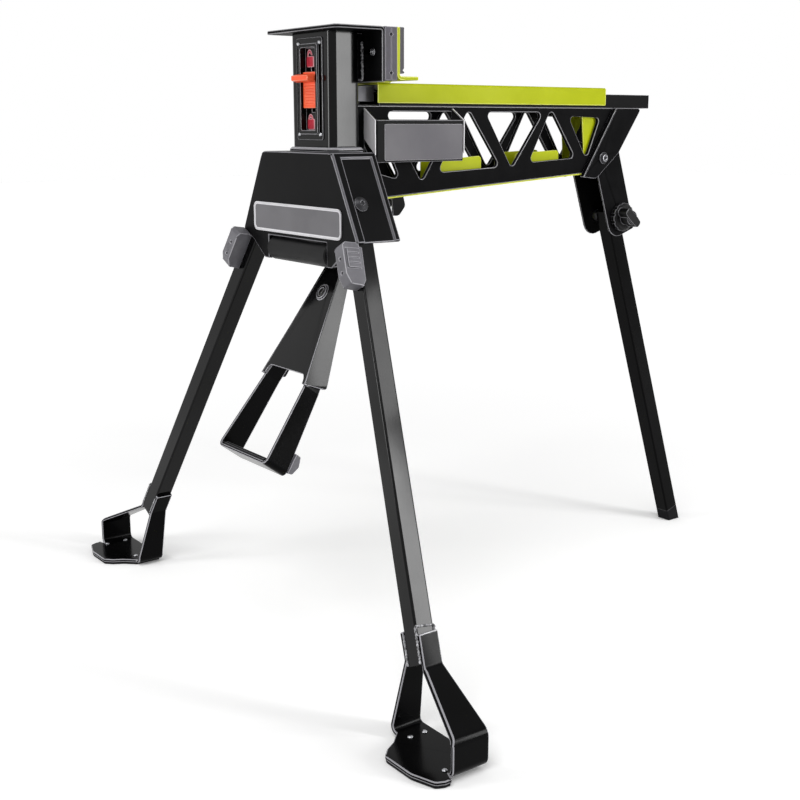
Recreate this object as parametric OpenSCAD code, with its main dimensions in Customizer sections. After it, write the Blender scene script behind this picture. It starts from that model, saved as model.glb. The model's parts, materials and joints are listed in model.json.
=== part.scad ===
// Portable clamping work stand: a tripod stand with a foot-operated jaw on a sliding rail.
// X runs across the stand, -Y is the user's side, +Z is up and Z = 0 is the ground.

/* [Overall] */
// Height of the head plate above the ground
table_h = 870; // [820:1:920]

/* [Head plate and jaws] */
// Width of the head plate and of both jaws
jaw_w = 180; // [140:1:220]
// Steel thickness of the head plate
head_plate_t = 5; // [3:0.5:8]
// How far the head plate reaches in front of the tower centre
head_plate_front = 40; // [32:1:60]
// Rear face of the fixed jaw, behind the tower centre
jaw_y = 41; // [36:1:60]
// Height of the jaw pads
pad_h = 71; // [50:1:90]
// Thickness of one jaw pad
pad_t = 10; // [6:0.5:16]
// Depth of the grooves that grip round stock
groove_d = 2.6; // [1:0.1:4]
// Steel thickness of the moving jaw
jaw_t = 5; // [3:0.5:8]
// Length of the moving jaw's foot
jaw_foot = 37; // [25:1:60]
// Gap left between the closed pads
pad_gap = 0.3; // [0.2:0.1:2]

/* [Tower] */
// Width of the tower
tower_w = 104; // [80:1:130]
// Depth of the tower
tower_d = 50; // [40:1:56]
// Steel thickness of the tower
tower_t = 2.5; // [1.5:0.1:5]
// Corner radius of the tower
tower_r = 10; // [5:1:18]
// Height of the tower from its foot to the head plate
tower_h = 156; // [146:1:170]
// Thickness of the collar under the tower
collar_t = 6.4; // [4:0.1:10]
// Overhang of the collar round the tower
collar_lip = 6; // [3:0.5:9]

/* [Lock switch] */
// Width of the switch plate
switch_plate_w = 66; // [50:1:80]
// Height of the switch plate
switch_plate_h = 138; // [120:1:144]
// Thickness of the switch plate
switch_plate_t = 4.4; // [3:0.1:7]
// Width of the slot in the switch plate
slot_w = 38; // [28:1:46]
// Height of the slot in the switch plate
slot_h = 112; // [90:1:118]
// Height of the switch slider
switch_h = 49; // [30:1:60]
// Reach of the finger tab in front of the slider
tab_reach = 12; // [8:1:20]

/* [Beam] */
// Half width of the beam over its side plates
beam_x = 32.5; // [26:0.5:45]
// Steel thickness of the side plates
side_t = 2.5; // [1.5:0.1:4]
// Drop of the side plates' top edge below the head plate's top
beam_drop = 104; // [101:0.5:112]
// Height of the side plates at the tower centre
beam_h = 134.7; // [125:0.1:140]
// Rise of the lower edge for each unit of length
beam_slope = 0.063; // [0:0.001:0.12]
// Rear end of the beam, behind the tower centre
beam_end = 641; // [600:1:700]
// Depth of the turned flange round each window
lip_d = 7; // [3:0.5:12]
// Corner radius of the windows
window_r = 8; // [4:0.5:14]
// Height of the fixed top rail
top_rail_h = 22; // [14:1:30]

/* [Sliding rail] */
// Width of the sliding rail
rail_w = 60; // [50:1:80]
// Height of the sliding rail
rail_h = 28; // [24:1:40]
// Steel thickness of the sliding rail
rail_t = 2.5; // [1.5:0.1:4]
// Front end of the sliding rail, behind the tower centre
rail_y = 71.2; // [60:0.1:90]
// Length of the sliding rail
rail_len = 462; // [400:1:500]
// Side play between the fixed and the sliding rail
rail_play = 1; // [0.4:0.1:2]

/* [Head bracket] */
// Half width of the bracket at its top
head_top_x = 91; // [80:1:110]
// Half width of the bracket at its lower corners
head_low_x = 150; // [130:1:170]
// Height of the bracket from its lower corners to its top
head_h = 115.2; // [105:0.1:125]
// Front face of the bracket, ahead of the tower centre
head_front_y = 50.5; // [46:0.5:60]
// Rear edge of the bracket, behind the tower centre
head_rear_y = 22; // [10:1:26]
// Steel thickness of the bracket
head_t = 2.5; // [1.5:0.1:4]

/* [Transport roller] */
// Diameter of the transport roller
roller_d = 35; // [25:1:38]
// Length of the transport roller
roller_len = 153; // [120:0.5:154]
// Drop of the roller's axle below the bracket's top
roller_drop = 139.1; // [136:0.1:144]
// Diameter of the roller's axle
roller_axle_d = 10; // [6:0.5:14]
// Radial running clearance of shafts in their bores
run_fit = 0.06; // [0.02:0.01:0.1]

/* [Front legs] */
// Width of the square leg tube
leg_w = 28; // [22:1:34]
// Wall of the leg tube
leg_t = 2; // [1.2:0.1:4]
// Forward lean of the front legs in degrees
leg_lean = 8.56; // [4:0.01:14]
// Height of the leg tubes' lower ends above the ground
leg_end = 91.3; // [85:0.1:100]
// Distance of the leg's axis inside the bracket's side face
leg_inset = 19.5; // [18:0.1:22]
// Drop of the leg bolts below the bracket's top
leg_pivot_drop = 66.2; // [56:0.1:80]
// Diameter of the leg bolts
leg_bolt_d = 10; // [6:0.5:14]

/* [Front feet] */
// Reach of the foot beyond the middle of the leg's lower end
foot_reach = 118.7; // [105:0.1:130]
// Length of a foot plate, from inner to outer strap
foot_len = 135; // [126:1:145]
// Front reach of the foot plates ahead of the legs' lower ends
foot_set = 82.4; // [76:0.1:90]
// Depth of the foot plates, front to back
foot_depth = 88; // [84:1:94]
// Steel thickness of the foot straps
strap_t = 5; // [3:0.5:8]
// Width of the foot straps at the ground
strap_w = 54; // [40:1:70]
// Thickness of the rubber soles
sole_t = 4; // [2:0.5:8]

/* [Rear leg] */
// Rearward lean of the rear leg in degrees
rear_lean = 18.8; // [12:0.1:25]
// Rear pivot, behind the tower centre
rear_pivot_y = 580; // [560:1:600]
// Drop of the rear pivot below the side plates' top edge
rear_pivot_drop = 180; // [170:1:190]
// Depth of the rear channel
rear_channel_d = 58; // [46:1:66]
// Diameter of the clamping disc on the knob
knob_d = 48; // [36:1:60]

/* [Foot pedal] */
// Drop of the pedal pivot below the bracket's top
pedal_drop = 152.1; // [146:0.1:156]
// Distance of the pedal pivot behind the tower centre
pedal_y = 31.5; // [24:0.5:36]
// Forward lean of the pedal arm in degrees
pedal_lean = 30.8; // [20:0.1:36]
// Width of the pedal arm at its lower end
pedal_w = 118; // [104:1:126]
// Steel thickness of the pedal arm
pedal_t = 3; // [2:0.5:5]
// Width of the tread bar
tread_w = 136; // [122:1:144]

/* [Hidden] */
$fn = 48;
eps = 0.01;
black = [0.05, 0.05, 0.055];
black_gloss = [0.09, 0.09, 0.1];
green = [0.65, 0.76, 0.1];
grey = [0.36, 0.36, 0.38];
steel = [0.62, 0.62, 0.64];

half_jaw = jaw_w / 2;
tower_front = -tower_d / 2 + 1.7;
tower_rear = tower_d / 2 + 1.7;
tower_mid = (tower_front + tower_rear) / 2;
plate_z = table_h - head_plate_t;
tower_z = plate_z - tower_h;
pad_z = table_h - pad_h;
screw_z = table_h - 33;
beam_top = table_h - beam_drop;
beam_low = beam_top - beam_h;
parting = jaw_y + pad_t + pad_gap / 2;
jaw_front = parting + pad_gap / 2 + pad_t;
head_z = tower_z - collar_t;
head_low_z = head_z - head_h;
roller_z = head_z - roller_drop;
pedal_z = head_z - pedal_drop;
rear_pivot_z = beam_top - rear_pivot_drop;
collar_rear = tower_mid + tower_d / 2 + collar_lip;
rail_top = beam_top + 4 + rail_h;
rail_inner = rail_w / 2 - rail_t;
top_rail_z = beam_top;
top_rail_y = rail_y + 4.8;
side_angle = atan2(head_low_x - head_top_x, head_z - head_low_z);
side_len = norm([head_low_x - head_top_x, head_z - head_low_z]);
roller_y = -head_front_y + roller_d / 2 - 4;
leg_pivot_s = leg_pivot_drop / cos(side_angle);
leg_pivot_y = -24.5;
leg_pivot_z = head_z - leg_inset * sin(side_angle) - leg_pivot_s * cos(side_angle);
leg_len = (leg_pivot_z - leg_end) / cos(leg_lean) / cos(side_angle);
foot_x = leg_x(95) + foot_reach;
foot_front = foot_set - leg_y(95);
foot_back = foot_front - foot_depth;
rear_end = rear_pivot_y + rear_pivot_z * tan(rear_lean) + leg_w / 2 / cos(rear_lean);
tower_offset = (rear_end - foot_front) / 2;
channel_out = beam_x - side_t;
channel_in = channel_out - 3;
switch_mid_z = tower_z + 79;

// Unit vector of v
function unit(v) = v / norm(v);
// Signed difference of two angles, within half a turn
function turn(a0, a1) = (a1 - a0 + 540) % 360 - 180;
// Points of one corner at b, between a and c, rounded to r in n steps
function corner(a, b, c, r, n) =
    let (u = unit(a - b), v = unit(c - b), half = acos(u * v) / 2)
    r <= 0 || half > 89.5 ? [b] :
    let (o = b + unit(u + v) * r / sin(half),
         s = b + u * r / tan(half), e = b + v * r / tan(half),
         a0 = atan2(s[1] - o[1], s[0] - o[0]), w = turn(a0, atan2(e[1] - o[1], e[0] - o[0])))
    [for (i = [0:n]) o + r * [cos(a0 + w * i / n), sin(a0 + w * i / n)]];
// Outline with each corner rounded to its own radius
function rounded(p, r, n = 5) =
    let (m = len(p))
    [for (i = [0:m - 1]) each corner(p[(i + m - 1) % m], p[i], p[(i + 1) % m],
                                     is_list(r) ? r[i] : r, n)];
// Counter-clockwise outline moved inwards by t
function inset(p, t) =
    let (m = len(p))
    [for (i = [0:m - 1])
        let (u = unit(p[i] - p[(i + m - 1) % m]), v = unit(p[(i + 1) % m] - p[i]),
             a = [-u[1], u[0]], b = [-v[1], v[0]])
        p[i] + t * (a + b) / (1 + a * b)];
// Left normal of a path at point i, lengthened for the mitre
function mitre(p, i) =
    let (m = len(p), u = unit(p[max(i, 1)] - p[max(i, 1) - 1]),
         v = unit(p[min(i, m - 2) + 1] - p[min(i, m - 2)]), a = [-u[1], u[0]], b = [-v[1], v[0]])
    (a + b) / (1 + a * b);
// Bend of a path at point i, positive to the left
function bend(p, i) =
    i == 0 || i == len(p) - 1 ? 0 : cross(p[i] - p[i - 1], p[i + 1] - p[i]);
// Outline of a strip of thickness t bent along a path with inner radius r
function strip(p, t, r, n = 5) =
    let (m = len(p))
    rounded(concat([for (i = [0:m - 1]) p[i] + mitre(p, i) * t / 2],
                   [for (i = [m - 1:-1:0]) p[i] - mitre(p, i) * t / 2]),
            concat([for (i = [0:m - 1]) bend(p, i) == 0 ? 0 : bend(p, i) > 0 ? r : r + t],
                   [for (i = [m - 1:-1:0]) bend(p, i) == 0 ? 0 : bend(p, i) > 0 ? r + t : r]), n);
// Height of the beam's lower edge at y
function low(y) = beam_low + beam_slope * y;

// The stand's own frame: y is counted from the tower centre
module frame() { translate([0, -tower_offset, 0]) children(); }
// Extrudes an outline drawn in (y, z) from x0 to x1
module along_x(x0, x1) {
    translate([x0, 0, 0]) rotate([90, 0, 90]) linear_extrude(x1 - x0) children();
}
// Extrudes an outline drawn in (x, z) from y0 to y1
module along_y(y0, y1) {
    translate([0, y1, 0]) rotate([90, 0, 0]) linear_extrude(y1 - y0) children();
}
// Round bar along X
module bar_x(x0, x1, d) { translate([x0, 0, 0]) rotate([0, 90, 0]) cylinder(h = x1 - x0, d = d); }
// Rounded rectangle centred on the origin
module rrect(w, d, r) {
    square([w - 2 * r, d], center = true);
    square([w, d - 2 * r], center = true);
    for (x = [-1, 1], y = [-1, 1]) translate([x * (w / 2 - r), y * (d / 2 - r)]) circle(r);
}
// One side or its mirror image
module hand(side) { if (side > 0) children(); else mirror([1, 0, 0]) children(); }
// Domed fastener head along +X, with its rim on x = 0
module dome_head(d, h) {
    rotate([0, 90, 0]) {
        cylinder(h = h * 0.4, d = d);
        translate([0, 0, h * 0.4]) cylinder(h = h * 0.6, d1 = d, d2 = d * 0.55);
    }
}

module top_plate() {
    color(black) frame() difference() {
        intersection() {
            along_x(-half_jaw, half_jaw)
                polygon(strip([[-head_plate_front, table_h - head_plate_t / 2],
                               [jaw_y - head_plate_t / 2, table_h - head_plate_t / 2],
                               [jaw_y - head_plate_t / 2, pad_z - 2]], head_plate_t, 2));
            translate([0, (jaw_y - head_plate_front) / 2, pad_z - 10])
                linear_extrude(pad_h + 20)
                    polygon(rounded([[-half_jaw, -(jaw_y + head_plate_front) / 2],
                                     [half_jaw, -(jaw_y + head_plate_front) / 2],
                                     [half_jaw, (jaw_y + head_plate_front) / 2],
                                     [-half_jaw, (jaw_y + head_plate_front) / 2]], [7, 7, 0, 0]));
        }
        for (x = [-1, 1]) translate([x * (half_jaw - 21.4), jaw_y - head_plate_t - 1, screw_z])
            rotate([-90, 0, 0]) cylinder(h = head_plate_t + 2, d = 6.4);
    }
}

// One jaw pad whose gripping face is at y = 0 and whose back is at y = -pad_t
module pad_body(screw_d) {
    difference() {
        along_x(-half_jaw, half_jaw)
            polygon(rounded([[-pad_t, pad_z], [0, pad_z], [0, table_h], [-pad_t, table_h]],
                            [0.6, 1.2, 1.2, 0.6], 3));
        for (z = [0.145, 0.86]) translate([0, 0, pad_z + pad_h * (1 - z)]) rotate([45, 0, 0])
            cube([jaw_w + 2, groove_d, groove_d], center = true);
        for (z = [0.145, 0.86]) translate([0, 0, pad_z + pad_h * (1 - z)]) rotate([45, 0, 0])
            cube([jaw_w + 2, groove_d * 1.4, groove_d * 1.4], center = true);
        for (x = [-1, 1]) translate([x * (half_jaw - 21.4), -pad_t - 1, screw_z])
            rotate([-90, 0, 0]) cylinder(h = 7, d = screw_d);
    }
}

module fixed_pad() {
    color(grey) frame() translate([0, parting - pad_gap / 2, 0]) pad_body(6.4);
}

// Pan-head screw with its head seat at y = 0, shank towards +y
module pan_screw(shank, d = 6, head_d = 11, head_h = 3.2) {
    rotate([-90, 0, 0]) cylinder(h = shank, d = d);
    difference() {
        rotate([90, 0, 0]) {
            cylinder(h = head_h * 0.5, d = head_d);
            translate([0, 0, head_h * 0.5]) cylinder(h = head_h * 0.5, d1 = head_d, d2 = head_d * 0.7);
        }
        translate([0, -head_h, 0]) for (a = [0, 60, 120]) rotate([0, a, 0])
            cube([3.6, 3, 2.1], center = true);
    }
}

module fixed_pad_screws() {
    color(steel) frame() for (x = [-1, 1])
        translate([x * (half_jaw - 21.4), jaw_y - head_plate_t, screw_z]) pan_screw(head_plate_t + 5);
}

module tower() {
    color(black_gloss) frame() difference() {
        translate([0, tower_mid, tower_z]) linear_extrude(plate_z - tower_z) difference() {
            rrect(tower_w, tower_d, tower_r);
            rrect(tower_w - 2 * tower_t, tower_d - 2 * tower_t, tower_r - tower_t);
        }
        translate([0, tower_front - 1, switch_mid_z]) rotate([-90, 0, 0])
            linear_extrude(tower_t + 2) rrect(slot_w + 2 * tray_t + 0.4, slot_h + 2 * tray_t + 0.4, 4.5);
    }
}

module jaw_gussets() {
    color(black) frame() for (x = [-1, 1])
        along_x(x * (tower_w / 2 - tower_r - 2) - 2, x * (tower_w / 2 - tower_r - 2) + 2)
            polygon([[tower_rear, pad_z + 2], [jaw_y - head_plate_t, pad_z + 2],
                     [jaw_y - head_plate_t, plate_z - 2], [tower_rear, plate_z - 2]]);
}

module collar() {
    color(black_gloss) frame() difference() {
        translate([0, tower_mid, head_z]) {
            linear_extrude(collar_t - 2) rrect(tower_w + 2 * collar_lip, tower_d + 2 * collar_lip, tower_r + 5);
            translate([0, 0, collar_t - 2]) linear_extrude(2)
                rrect(tower_w + 2 * collar_lip - 4, tower_d + 2 * collar_lip - 4, tower_r + 3);
        }
        translate([0, tower_mid, head_z - 1]) linear_extrude(collar_t + 2)
            rrect(tower_w - 2 * tower_t, tower_d - 2 * tower_t, tower_r - tower_t);
    }
}

// The plate's tray holds the switch below the rim of the slot
tray_d = 6.5;
tray_t = 1.3;
module switch_plate() {
    color(black) frame() difference() {
        union() {
            translate([0, tower_front, switch_mid_z]) rotate([90, 0, 0])
                linear_extrude(1.6) rrect(switch_plate_w, switch_plate_h, 4);
            translate([0, tower_front, switch_mid_z]) rotate([90, 0, 0])
                linear_extrude(switch_plate_t) rrect(slot_w + 10, slot_h + 10, 4);
            translate([0, tower_front + tray_d, switch_mid_z]) rotate([90, 0, 0])
                linear_extrude(tray_d + 1) rrect(slot_w + 2 * tray_t, slot_h + 2 * tray_t, 4.3);
        }
        translate([0, tower_front + tray_d - tray_t, switch_mid_z]) rotate([90, 0, 0])
            linear_extrude(tray_d + switch_plate_t) rrect(slot_w, slot_h, 3);
        translate([-4.4, tower_front, switch_mid_z - 31]) cube([8.8, tray_d + 1, 62]);
        for (x = [-1, 1], z = [-1, 1])
            translate([x * 27, tower_front + 1, switch_mid_z + z * 62]) rotate([90, 0, 0])
                cylinder(h = 4, d = 3.6);
    }
}

module switch_rivets() {
    color(steel) frame() for (x = [-1, 1], z = [-1, 1])
        translate([x * 27, tower_front - 1.6, switch_mid_z + z * 62]) {
            rotate([-90, 0, 0]) cylinder(h = 1.6, d = 3.4);
            rotate([90, 0, 0]) cylinder(h = 1.6, d1 = 6.4, d2 = 3.4);
        }
}

module lock_switch() {
    face = tower_front - 0.4;
    rim = tower_front - switch_plate_t - 0.4;
    floor_y = tower_front + tray_d;
    color([0.9, 0.27, 0.13]) frame() translate([0, 0, switch_mid_z - 1]) {
        difference() {
            along_y(face, floor_y - tray_t - 0.3) rrect(slot_w - 1.2, switch_h, 2);
            for (z = [-3:3]) translate([0, face, z * 4 - 6]) rotate([0, 90, 0])
                cylinder(h = slot_w - 10, d = 1.2, center = true);
        }
        translate([-4, 0, switch_h / 2 - 8.5]) {
            hull() {
                along_y(rim - 2, rim) rrect(46, 11, 2);
                along_y(rim - tab_reach + 1, rim - tab_reach + 2) rrect(42, 7, 2);
            }
            along_y(rim - eps, face + eps) translate([4, 0]) rrect(slot_w - 6, 8, 1.5);
        }
        along_y(floor_y - tray_t - 0.3 - eps, floor_y + 0.4 + eps) square([8, 10], center = true);
        along_y(floor_y + 0.4, floor_y + 3) square([20, 20], center = true);
    }
}

module head_top() {
    color(black) frame() difference() {
        along_y(-head_front_y + head_t, head_rear_y) polygon([
            [-head_top_x + 5.6, head_z - head_t], [head_top_x - 5.6, head_z - head_t],
            [head_top_x - 5.6, head_z], [-head_top_x + 5.6, head_z]]);
        translate([0, tower_mid, head_z - head_t - 1]) linear_extrude(head_t + 2)
            rrect(tower_w - 20, tower_d - 16, 6);
    }
}

module head_front() {
    lug = [head_low_x - 33 * cos(side_angle), head_low_z - 33 * sin(side_angle)];
    ear = roller_len / 2 + 0.7;
    ear_z = roller_z - 15.5;
    color(black) frame() {
        along_y(-head_front_y, -head_front_y + head_t)
            polygon(rounded(concat(
                [[-head_top_x, head_z], [-head_low_x, head_low_z], [-lug[0], lug[1]],
                 [-ear - 12, ear_z], [-ear, ear_z], [-ear, roller_z + roller_d / 2 + 1]],
                [[ear, roller_z + roller_d / 2 + 1], [ear, ear_z], [ear + 12, ear_z],
                 [lug[0], lug[1]], [head_low_x, head_low_z], [head_top_x, head_z]]),
                [14, 4, 3, 5, 0, 0, 0, 0, 5, 3, 4, 14]));
        for (s = [-1, 1]) difference() {
            along_x(s > 0 ? ear : -ear - 3, s > 0 ? ear + 3 : -ear)
                polygon(rounded([[-head_front_y, ear_z], [roller_y + 14, ear_z],
                                 [roller_y + 14, ear_z + 42], [-head_front_y, ear_z + 42]],
                                [2, 10, 10, 0]));
            translate([0, roller_y, roller_z])
                bar_x(s * (ear + 1.5) - 4, s * (ear + 1.5) + 4, roller_axle_d);
        }
    }
}

// Slanted side face: local x is the outward normal, local z runs up the slope
module on_side() { translate([head_top_x, 0, head_z]) rotate([0, -side_angle, 0]) children(); }

module head_side() {
    depth = head_front_y - head_t + head_rear_y;
    on_side() difference() {
        translate([-5, -head_front_y + head_t, -side_len]) cube([5, depth, side_len]);
        translate([-2.5, -head_front_y + head_t + 12, -side_len - 1])
            cube([4, depth - 20, side_len - 6]);
        translate([-6, head_rear_y - 8, -side_len + 1]) rotate([0, 0, 0]) cube([3.4, 9, side_len - 8]);
        translate([0, leg_pivot_y, -leg_pivot_s]) bar_x(-8, 4, leg_bolt_d);
    }
}
module head_side_right() { color(black_gloss) frame() head_side(); }
module head_side_left() { color(black_gloss) frame() hand(-1) head_side(); }

module name_plate() {
    color(grey) frame() translate([0, -head_front_y, head_low_z + 21.1]) rotate([90, 0, 0]) {
        linear_extrude(1.2) rrect(231, 42, 9);
        translate([0, 0, 1.2]) linear_extrude(0.8) difference() {
            rrect(231, 42, 9);
            rrect(225, 36, 6.5);
        }
    }
}

// Front leg pivot, with local x along the bolt
module on_pivot() { on_side() translate([-leg_inset, leg_pivot_y, -leg_pivot_s]) children(); }
// Front leg frame: local z up the tube
module on_leg() { on_pivot() rotate([-leg_lean, 0, 0]) children(); }

module leg_bolt() {
    on_pivot() {
        bar_x(-leg_w / 2 - 2.4, leg_inset - 2.5, leg_bolt_d - 2 * run_fit);
        translate([leg_inset - 2.5, 0, 0]) difference() {
            dome_head(21, 5.5);
            translate([5.5, 0, 0]) rotate([0, 90, 0]) cylinder(h = 5, d = 7, center = true, $fn = 6);
        }
        translate([-leg_w / 2 - 8.4, 0, 0]) rotate([0, 90, 0]) difference() {
            cylinder(h = 8, d = 18, $fn = 6);
            translate([0, 0, -1]) cylinder(h = 4, d = 8);
        }
    }
}
module leg_bolt_right() { color(steel) frame() leg_bolt(); }
module leg_bolt_left() { color(steel) frame() hand(-1) leg_bolt(); }

module roller() {
    color(black) frame() translate([0, roller_y, roller_z]) rotate([0, 90, 0]) rotate_extrude()
        polygon([[roller_axle_d / 2 + run_fit, -roller_len / 2],
                 [roller_d / 2 - 2, -roller_len / 2], [roller_d / 2, -roller_len / 2 + 2],
                 [roller_d / 2, roller_len / 2 - 2], [roller_d / 2 - 2, roller_len / 2],
                 [roller_axle_d / 2 + run_fit, roller_len / 2]]);
}

module roller_axle() {
    ear = roller_len / 2 + 0.7;
    color(steel) frame() translate([0, roller_y, roller_z]) {
        bar_x(-ear - 4.4, ear + 4.4, roller_axle_d);
        for (s = [-1, 1]) translate([s * (ear + 4.2), 0, 0]) rotate([0, 90, 0])
            cylinder(h = 1.6, d = roller_axle_d + 4, center = true);
    }
}

// Window corners of one side plate, as [y, depth below the top edge]
windows = [
    [[44, 90], [113, 108], [70, 21], [44, 21]],
    [[148.8, 113.4], [220.1, 5.5], [79.5, 5.5]],
    [[175.2, 97.9], [305.8, 91.9], [237.7, 0.6]],
    [[326.8, 96.7], [394.9, 5.6], [268.3, 5.8]],
    [[359.7, 86.7], [468, 80.9], [408, -1.3]],
    [[490.5, 86.1], [521.2, 13.9], [443.4, 11.2]]
];
function window(w) = [for (p = w) [p[0], beam_top - p[1]]];

module side_plate() {
    difference() {
        along_x(beam_x - side_t, beam_x)
            polygon(rounded([[-head_front_y + head_t, low(-40)], [505, low(505)],
                             [560, beam_top - 74], [beam_end - 30, beam_top],
                             [tower_rear, beam_top], [tower_rear, tower_z + 0.3],
                             [collar_rear + 0.3, tower_z + 0.3], [collar_rear + 0.3, head_z - head_t],
                             [-head_front_y + head_t, head_z - head_t]],
                            [0, 20, 8, 0, 0, 0, 0, 0, 0]));
        for (w = windows) along_x(beam_x - side_t - 1, beam_x + 1)
            polygon(rounded(window(w), window_r));
        translate([0, gusset_bolt[0], gusset_bolt[1]]) bar_x(beam_x - 14, beam_x + 1, 10.2);
    }
    for (w = windows) along_x(beam_x - lip_d, beam_x) difference() {
        polygon(rounded(window(w), window_r));
        polygon(rounded(inset(window(w), 1.8), window_r - 1.8));
    }
    along_x(beam_x - 12, beam_x - side_t + eps) polygon([
        [tower_rear, beam_top - 2.5], [beam_end - 36, beam_top - 2.5],
        [beam_end - 36, beam_top], [tower_rear, beam_top]]);
}
module side_plate_right() { color(black) frame() side_plate(); }
module side_plate_left() { color(black) frame() hand(-1) side_plate(); }

// Green channel under the beam: it wraps the lower edges, with raised tabs and rear walls
module inner_channel() {
    out = beam_x - lip_d - 0.3;
    color(green) frame() {
        along_x(-beam_x, beam_x) polygon([[84, low(84) - 2], [505, low(505) - 2],
                                          [505, low(505)], [84, low(84)]]);
        for (s = [-1, 1]) along_x(s > 0 ? out - 2 : -out, s > 0 ? out : -out + 2)
            polygon(rounded([[84, low(84) - 1], [507, low(507) - 1], [507, beam_top - 62], [530, beam_top - 28],
                             [530, beam_top - 8], [484, beam_top - 8], [490, low(490) + 42],
                             [490, low(490) + 12], [434, low(434) + 12], [434, low(434) + 41],
                             [340, low(340) + 43], [340, low(340) + 12], [270, low(270) + 12],
                             [270, low(270) + 45], [190, low(190) + 45], [190, low(190) + 12],
                             [84, low(84) + 12]],
                            [0, 4, 6, 6, 3, 3, 6, 3, 3, 6, 6, 3, 3, 6, 6, 3, 3], 4));
    }
}

module top_rail() {
    half = rail_inner - rail_play;
    color(black) frame() along_y(top_rail_y, beam_end) difference() {
        polygon([[-half, top_rail_z], [half, top_rail_z],
                 [half, top_rail_z + top_rail_h], [-half, top_rail_z + top_rail_h]]);
        polygon([[-half + 2.5, top_rail_z + 2.5], [half - 2.5, top_rail_z + 2.5],
                 [half - 2.5, top_rail_z + top_rail_h - 2.5],
                 [-half + 2.5, top_rail_z + top_rail_h - 2.5]]);
    }
}

module guide_block() {
    color(steel) frame() translate([-14, tower_rear, beam_top + 6.5])
        cube([28, top_rail_y - tower_rear, rail_h - rail_t - 4.5]);
}

module beam_spacers() {
    out = beam_x - side_t;
    color(black) frame() for (p = [[97, beam_top - 52], [196.6, beam_top - 52]]) difference() {
        translate([0, p[0], p[1]]) bar_x(-out, out, 12);
        translate([0, p[0], p[1]]) bar_x(-out - 1, out + 1, 7);
    }
}

// Label box: a plate bent to a U that stands off the near side plate, open above and below
box_y = [46, 206];
box_x = 60;
module label_box() {
    top = beam_top - 20;
    low_z = beam_top - 78.5;
    color(black) frame() intersection() {
        translate([0, 0, low_z - 5]) linear_extrude(90)
            polygon(strip([[beam_x, box_y[0] + 1], [box_x - 1, box_y[0] + 1],
                           [box_x - 1, box_y[1] - 1], [beam_x, box_y[1] - 1]], 2, 1.5));
        along_y(box_y[0] - 1, box_y[1] + 1) polygon([
            [beam_x, beam_top - 45.5], [box_x - 3.6, low_z + 13], [box_x - 3.6, low_z],
            [box_x, low_z], [box_x, top], [beam_x, beam_top - 3]]);
    }
}

module label_box_ends() {
    color([0.7, 0.7, 0.71]) frame() for (y = [box_y[0] - 1.6, box_y[1]]) along_y(y, y + 1.6)
        polygon([[beam_x + 0.1, beam_top - 45.5], [box_x, beam_top - 68.2],
                 [box_x, beam_top - 20], [beam_x + 0.1, beam_top - 3]]);
}

module label_panel() {
    color([0.55, 0.55, 0.56]) frame() translate([box_x, 131.8, beam_top - 50.6]) rotate([90, 0, 90])
        linear_extrude(0.8) rrect(142, 50.5, 2);
}

// Rear corner plate, with its bolt hole
gusset_bolt = [525.5, beam_top - 80.5];
module rear_gusset() {
    difference() {
        along_x(beam_x, beam_x + 3.5)
            polygon(rounded([[477, beam_top - 110], [512, beam_top - 114], [563, beam_top - 72],
                             [beam_end - 27.7, beam_top], [548, beam_top]], [4, 18, 10, 4, 0]));
        translate([0, gusset_bolt[0], gusset_bolt[1]]) bar_x(beam_x - 1, beam_x + 5, 10.2);
    }
    difference() {
        along_x(beam_x, beam_x + 8)
            polygon([[548, beam_top], [477, beam_top - 110], [480, beam_top - 111],
                     [551.5, beam_top]]);
    }
}
module rear_gusset_right() { color(black) frame() rear_gusset(); }
module rear_gusset_left() { color(black) frame() hand(-1) rear_gusset(); }

// Rear pivot frame: local z runs up the rear leg
module on_rear() { translate([0, rear_pivot_y, rear_pivot_z]) rotate([rear_lean, 0, 0]) children(); }

module rear_channel() {
    front = -rear_channel_d + 25.5;
    color(black) frame() difference() {
        on_rear() {
            for (s = [-1, 1])
                along_x(s > 0 ? channel_in : -channel_out, s > 0 ? channel_out : -channel_in)
                    polygon(rounded([[front, -30], [25.5, -30], [25.5, 112], [-6, 136], [front, 132]],
                                    [24, 4, 3, 10, 8]));
            along_x(-channel_in - eps, channel_in + eps)
                polygon([[22.5, -26], [25.5, -26], [25.5, 112], [22.5, 110]]);
        }
        on_rear() bar_x(-channel_out - 1, channel_out + 1, 10.2);
        translate([0, gusset_bolt[0], gusset_bolt[1]]) bar_x(-channel_out - 1, channel_out + 1, 10.2);
    }
}

module rear_bolts() {
    color(steel) frame() for (s = [-1, 1]) hand(s)
        translate([0, gusset_bolt[0], gusset_bolt[1]]) {
            bar_x(channel_in - 2, beam_x + 3.5, 10);
            translate([beam_x + 3.5, 0, 0]) difference() {
                dome_head(19, 6);
                translate([6, 0, 0]) rotate([0, 90, 0]) cylinder(h = 5, d = 7, center = true, $fn = 6);
            }
            translate([channel_in - 8, 0, 0]) rotate([0, 90, 0]) difference() {
                cylinder(h = 8, d = 17, $fn = 6);
                translate([0, 0, -1]) cylinder(h = 3, d = 8);
            }
        }
}

// Clip under the beam that guides the rear leg when it is folded
module leg_catch() {
    y = 104;
    color(black) frame() {
        along_x(-18, 18) polygon([[y, low(y) - 5], [y + 22, low(y + 22) - 5],
                                  [y + 22, low(y + 22) - 2], [y, low(y) - 2]]);
        for (s = [-1, 1]) along_x(s > 0 ? 15.4 : -18, s > 0 ? 18 : -15.4)
            polygon(rounded([[y, low(y) - 3], [y + 3, low(y) - 30], [y + 14, low(y) - 30],
                             [y + 26, low(y) - 16], [y + 22, low(y) - 2]], [0, 4, 9, 8, 0]));
    }
}

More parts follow.
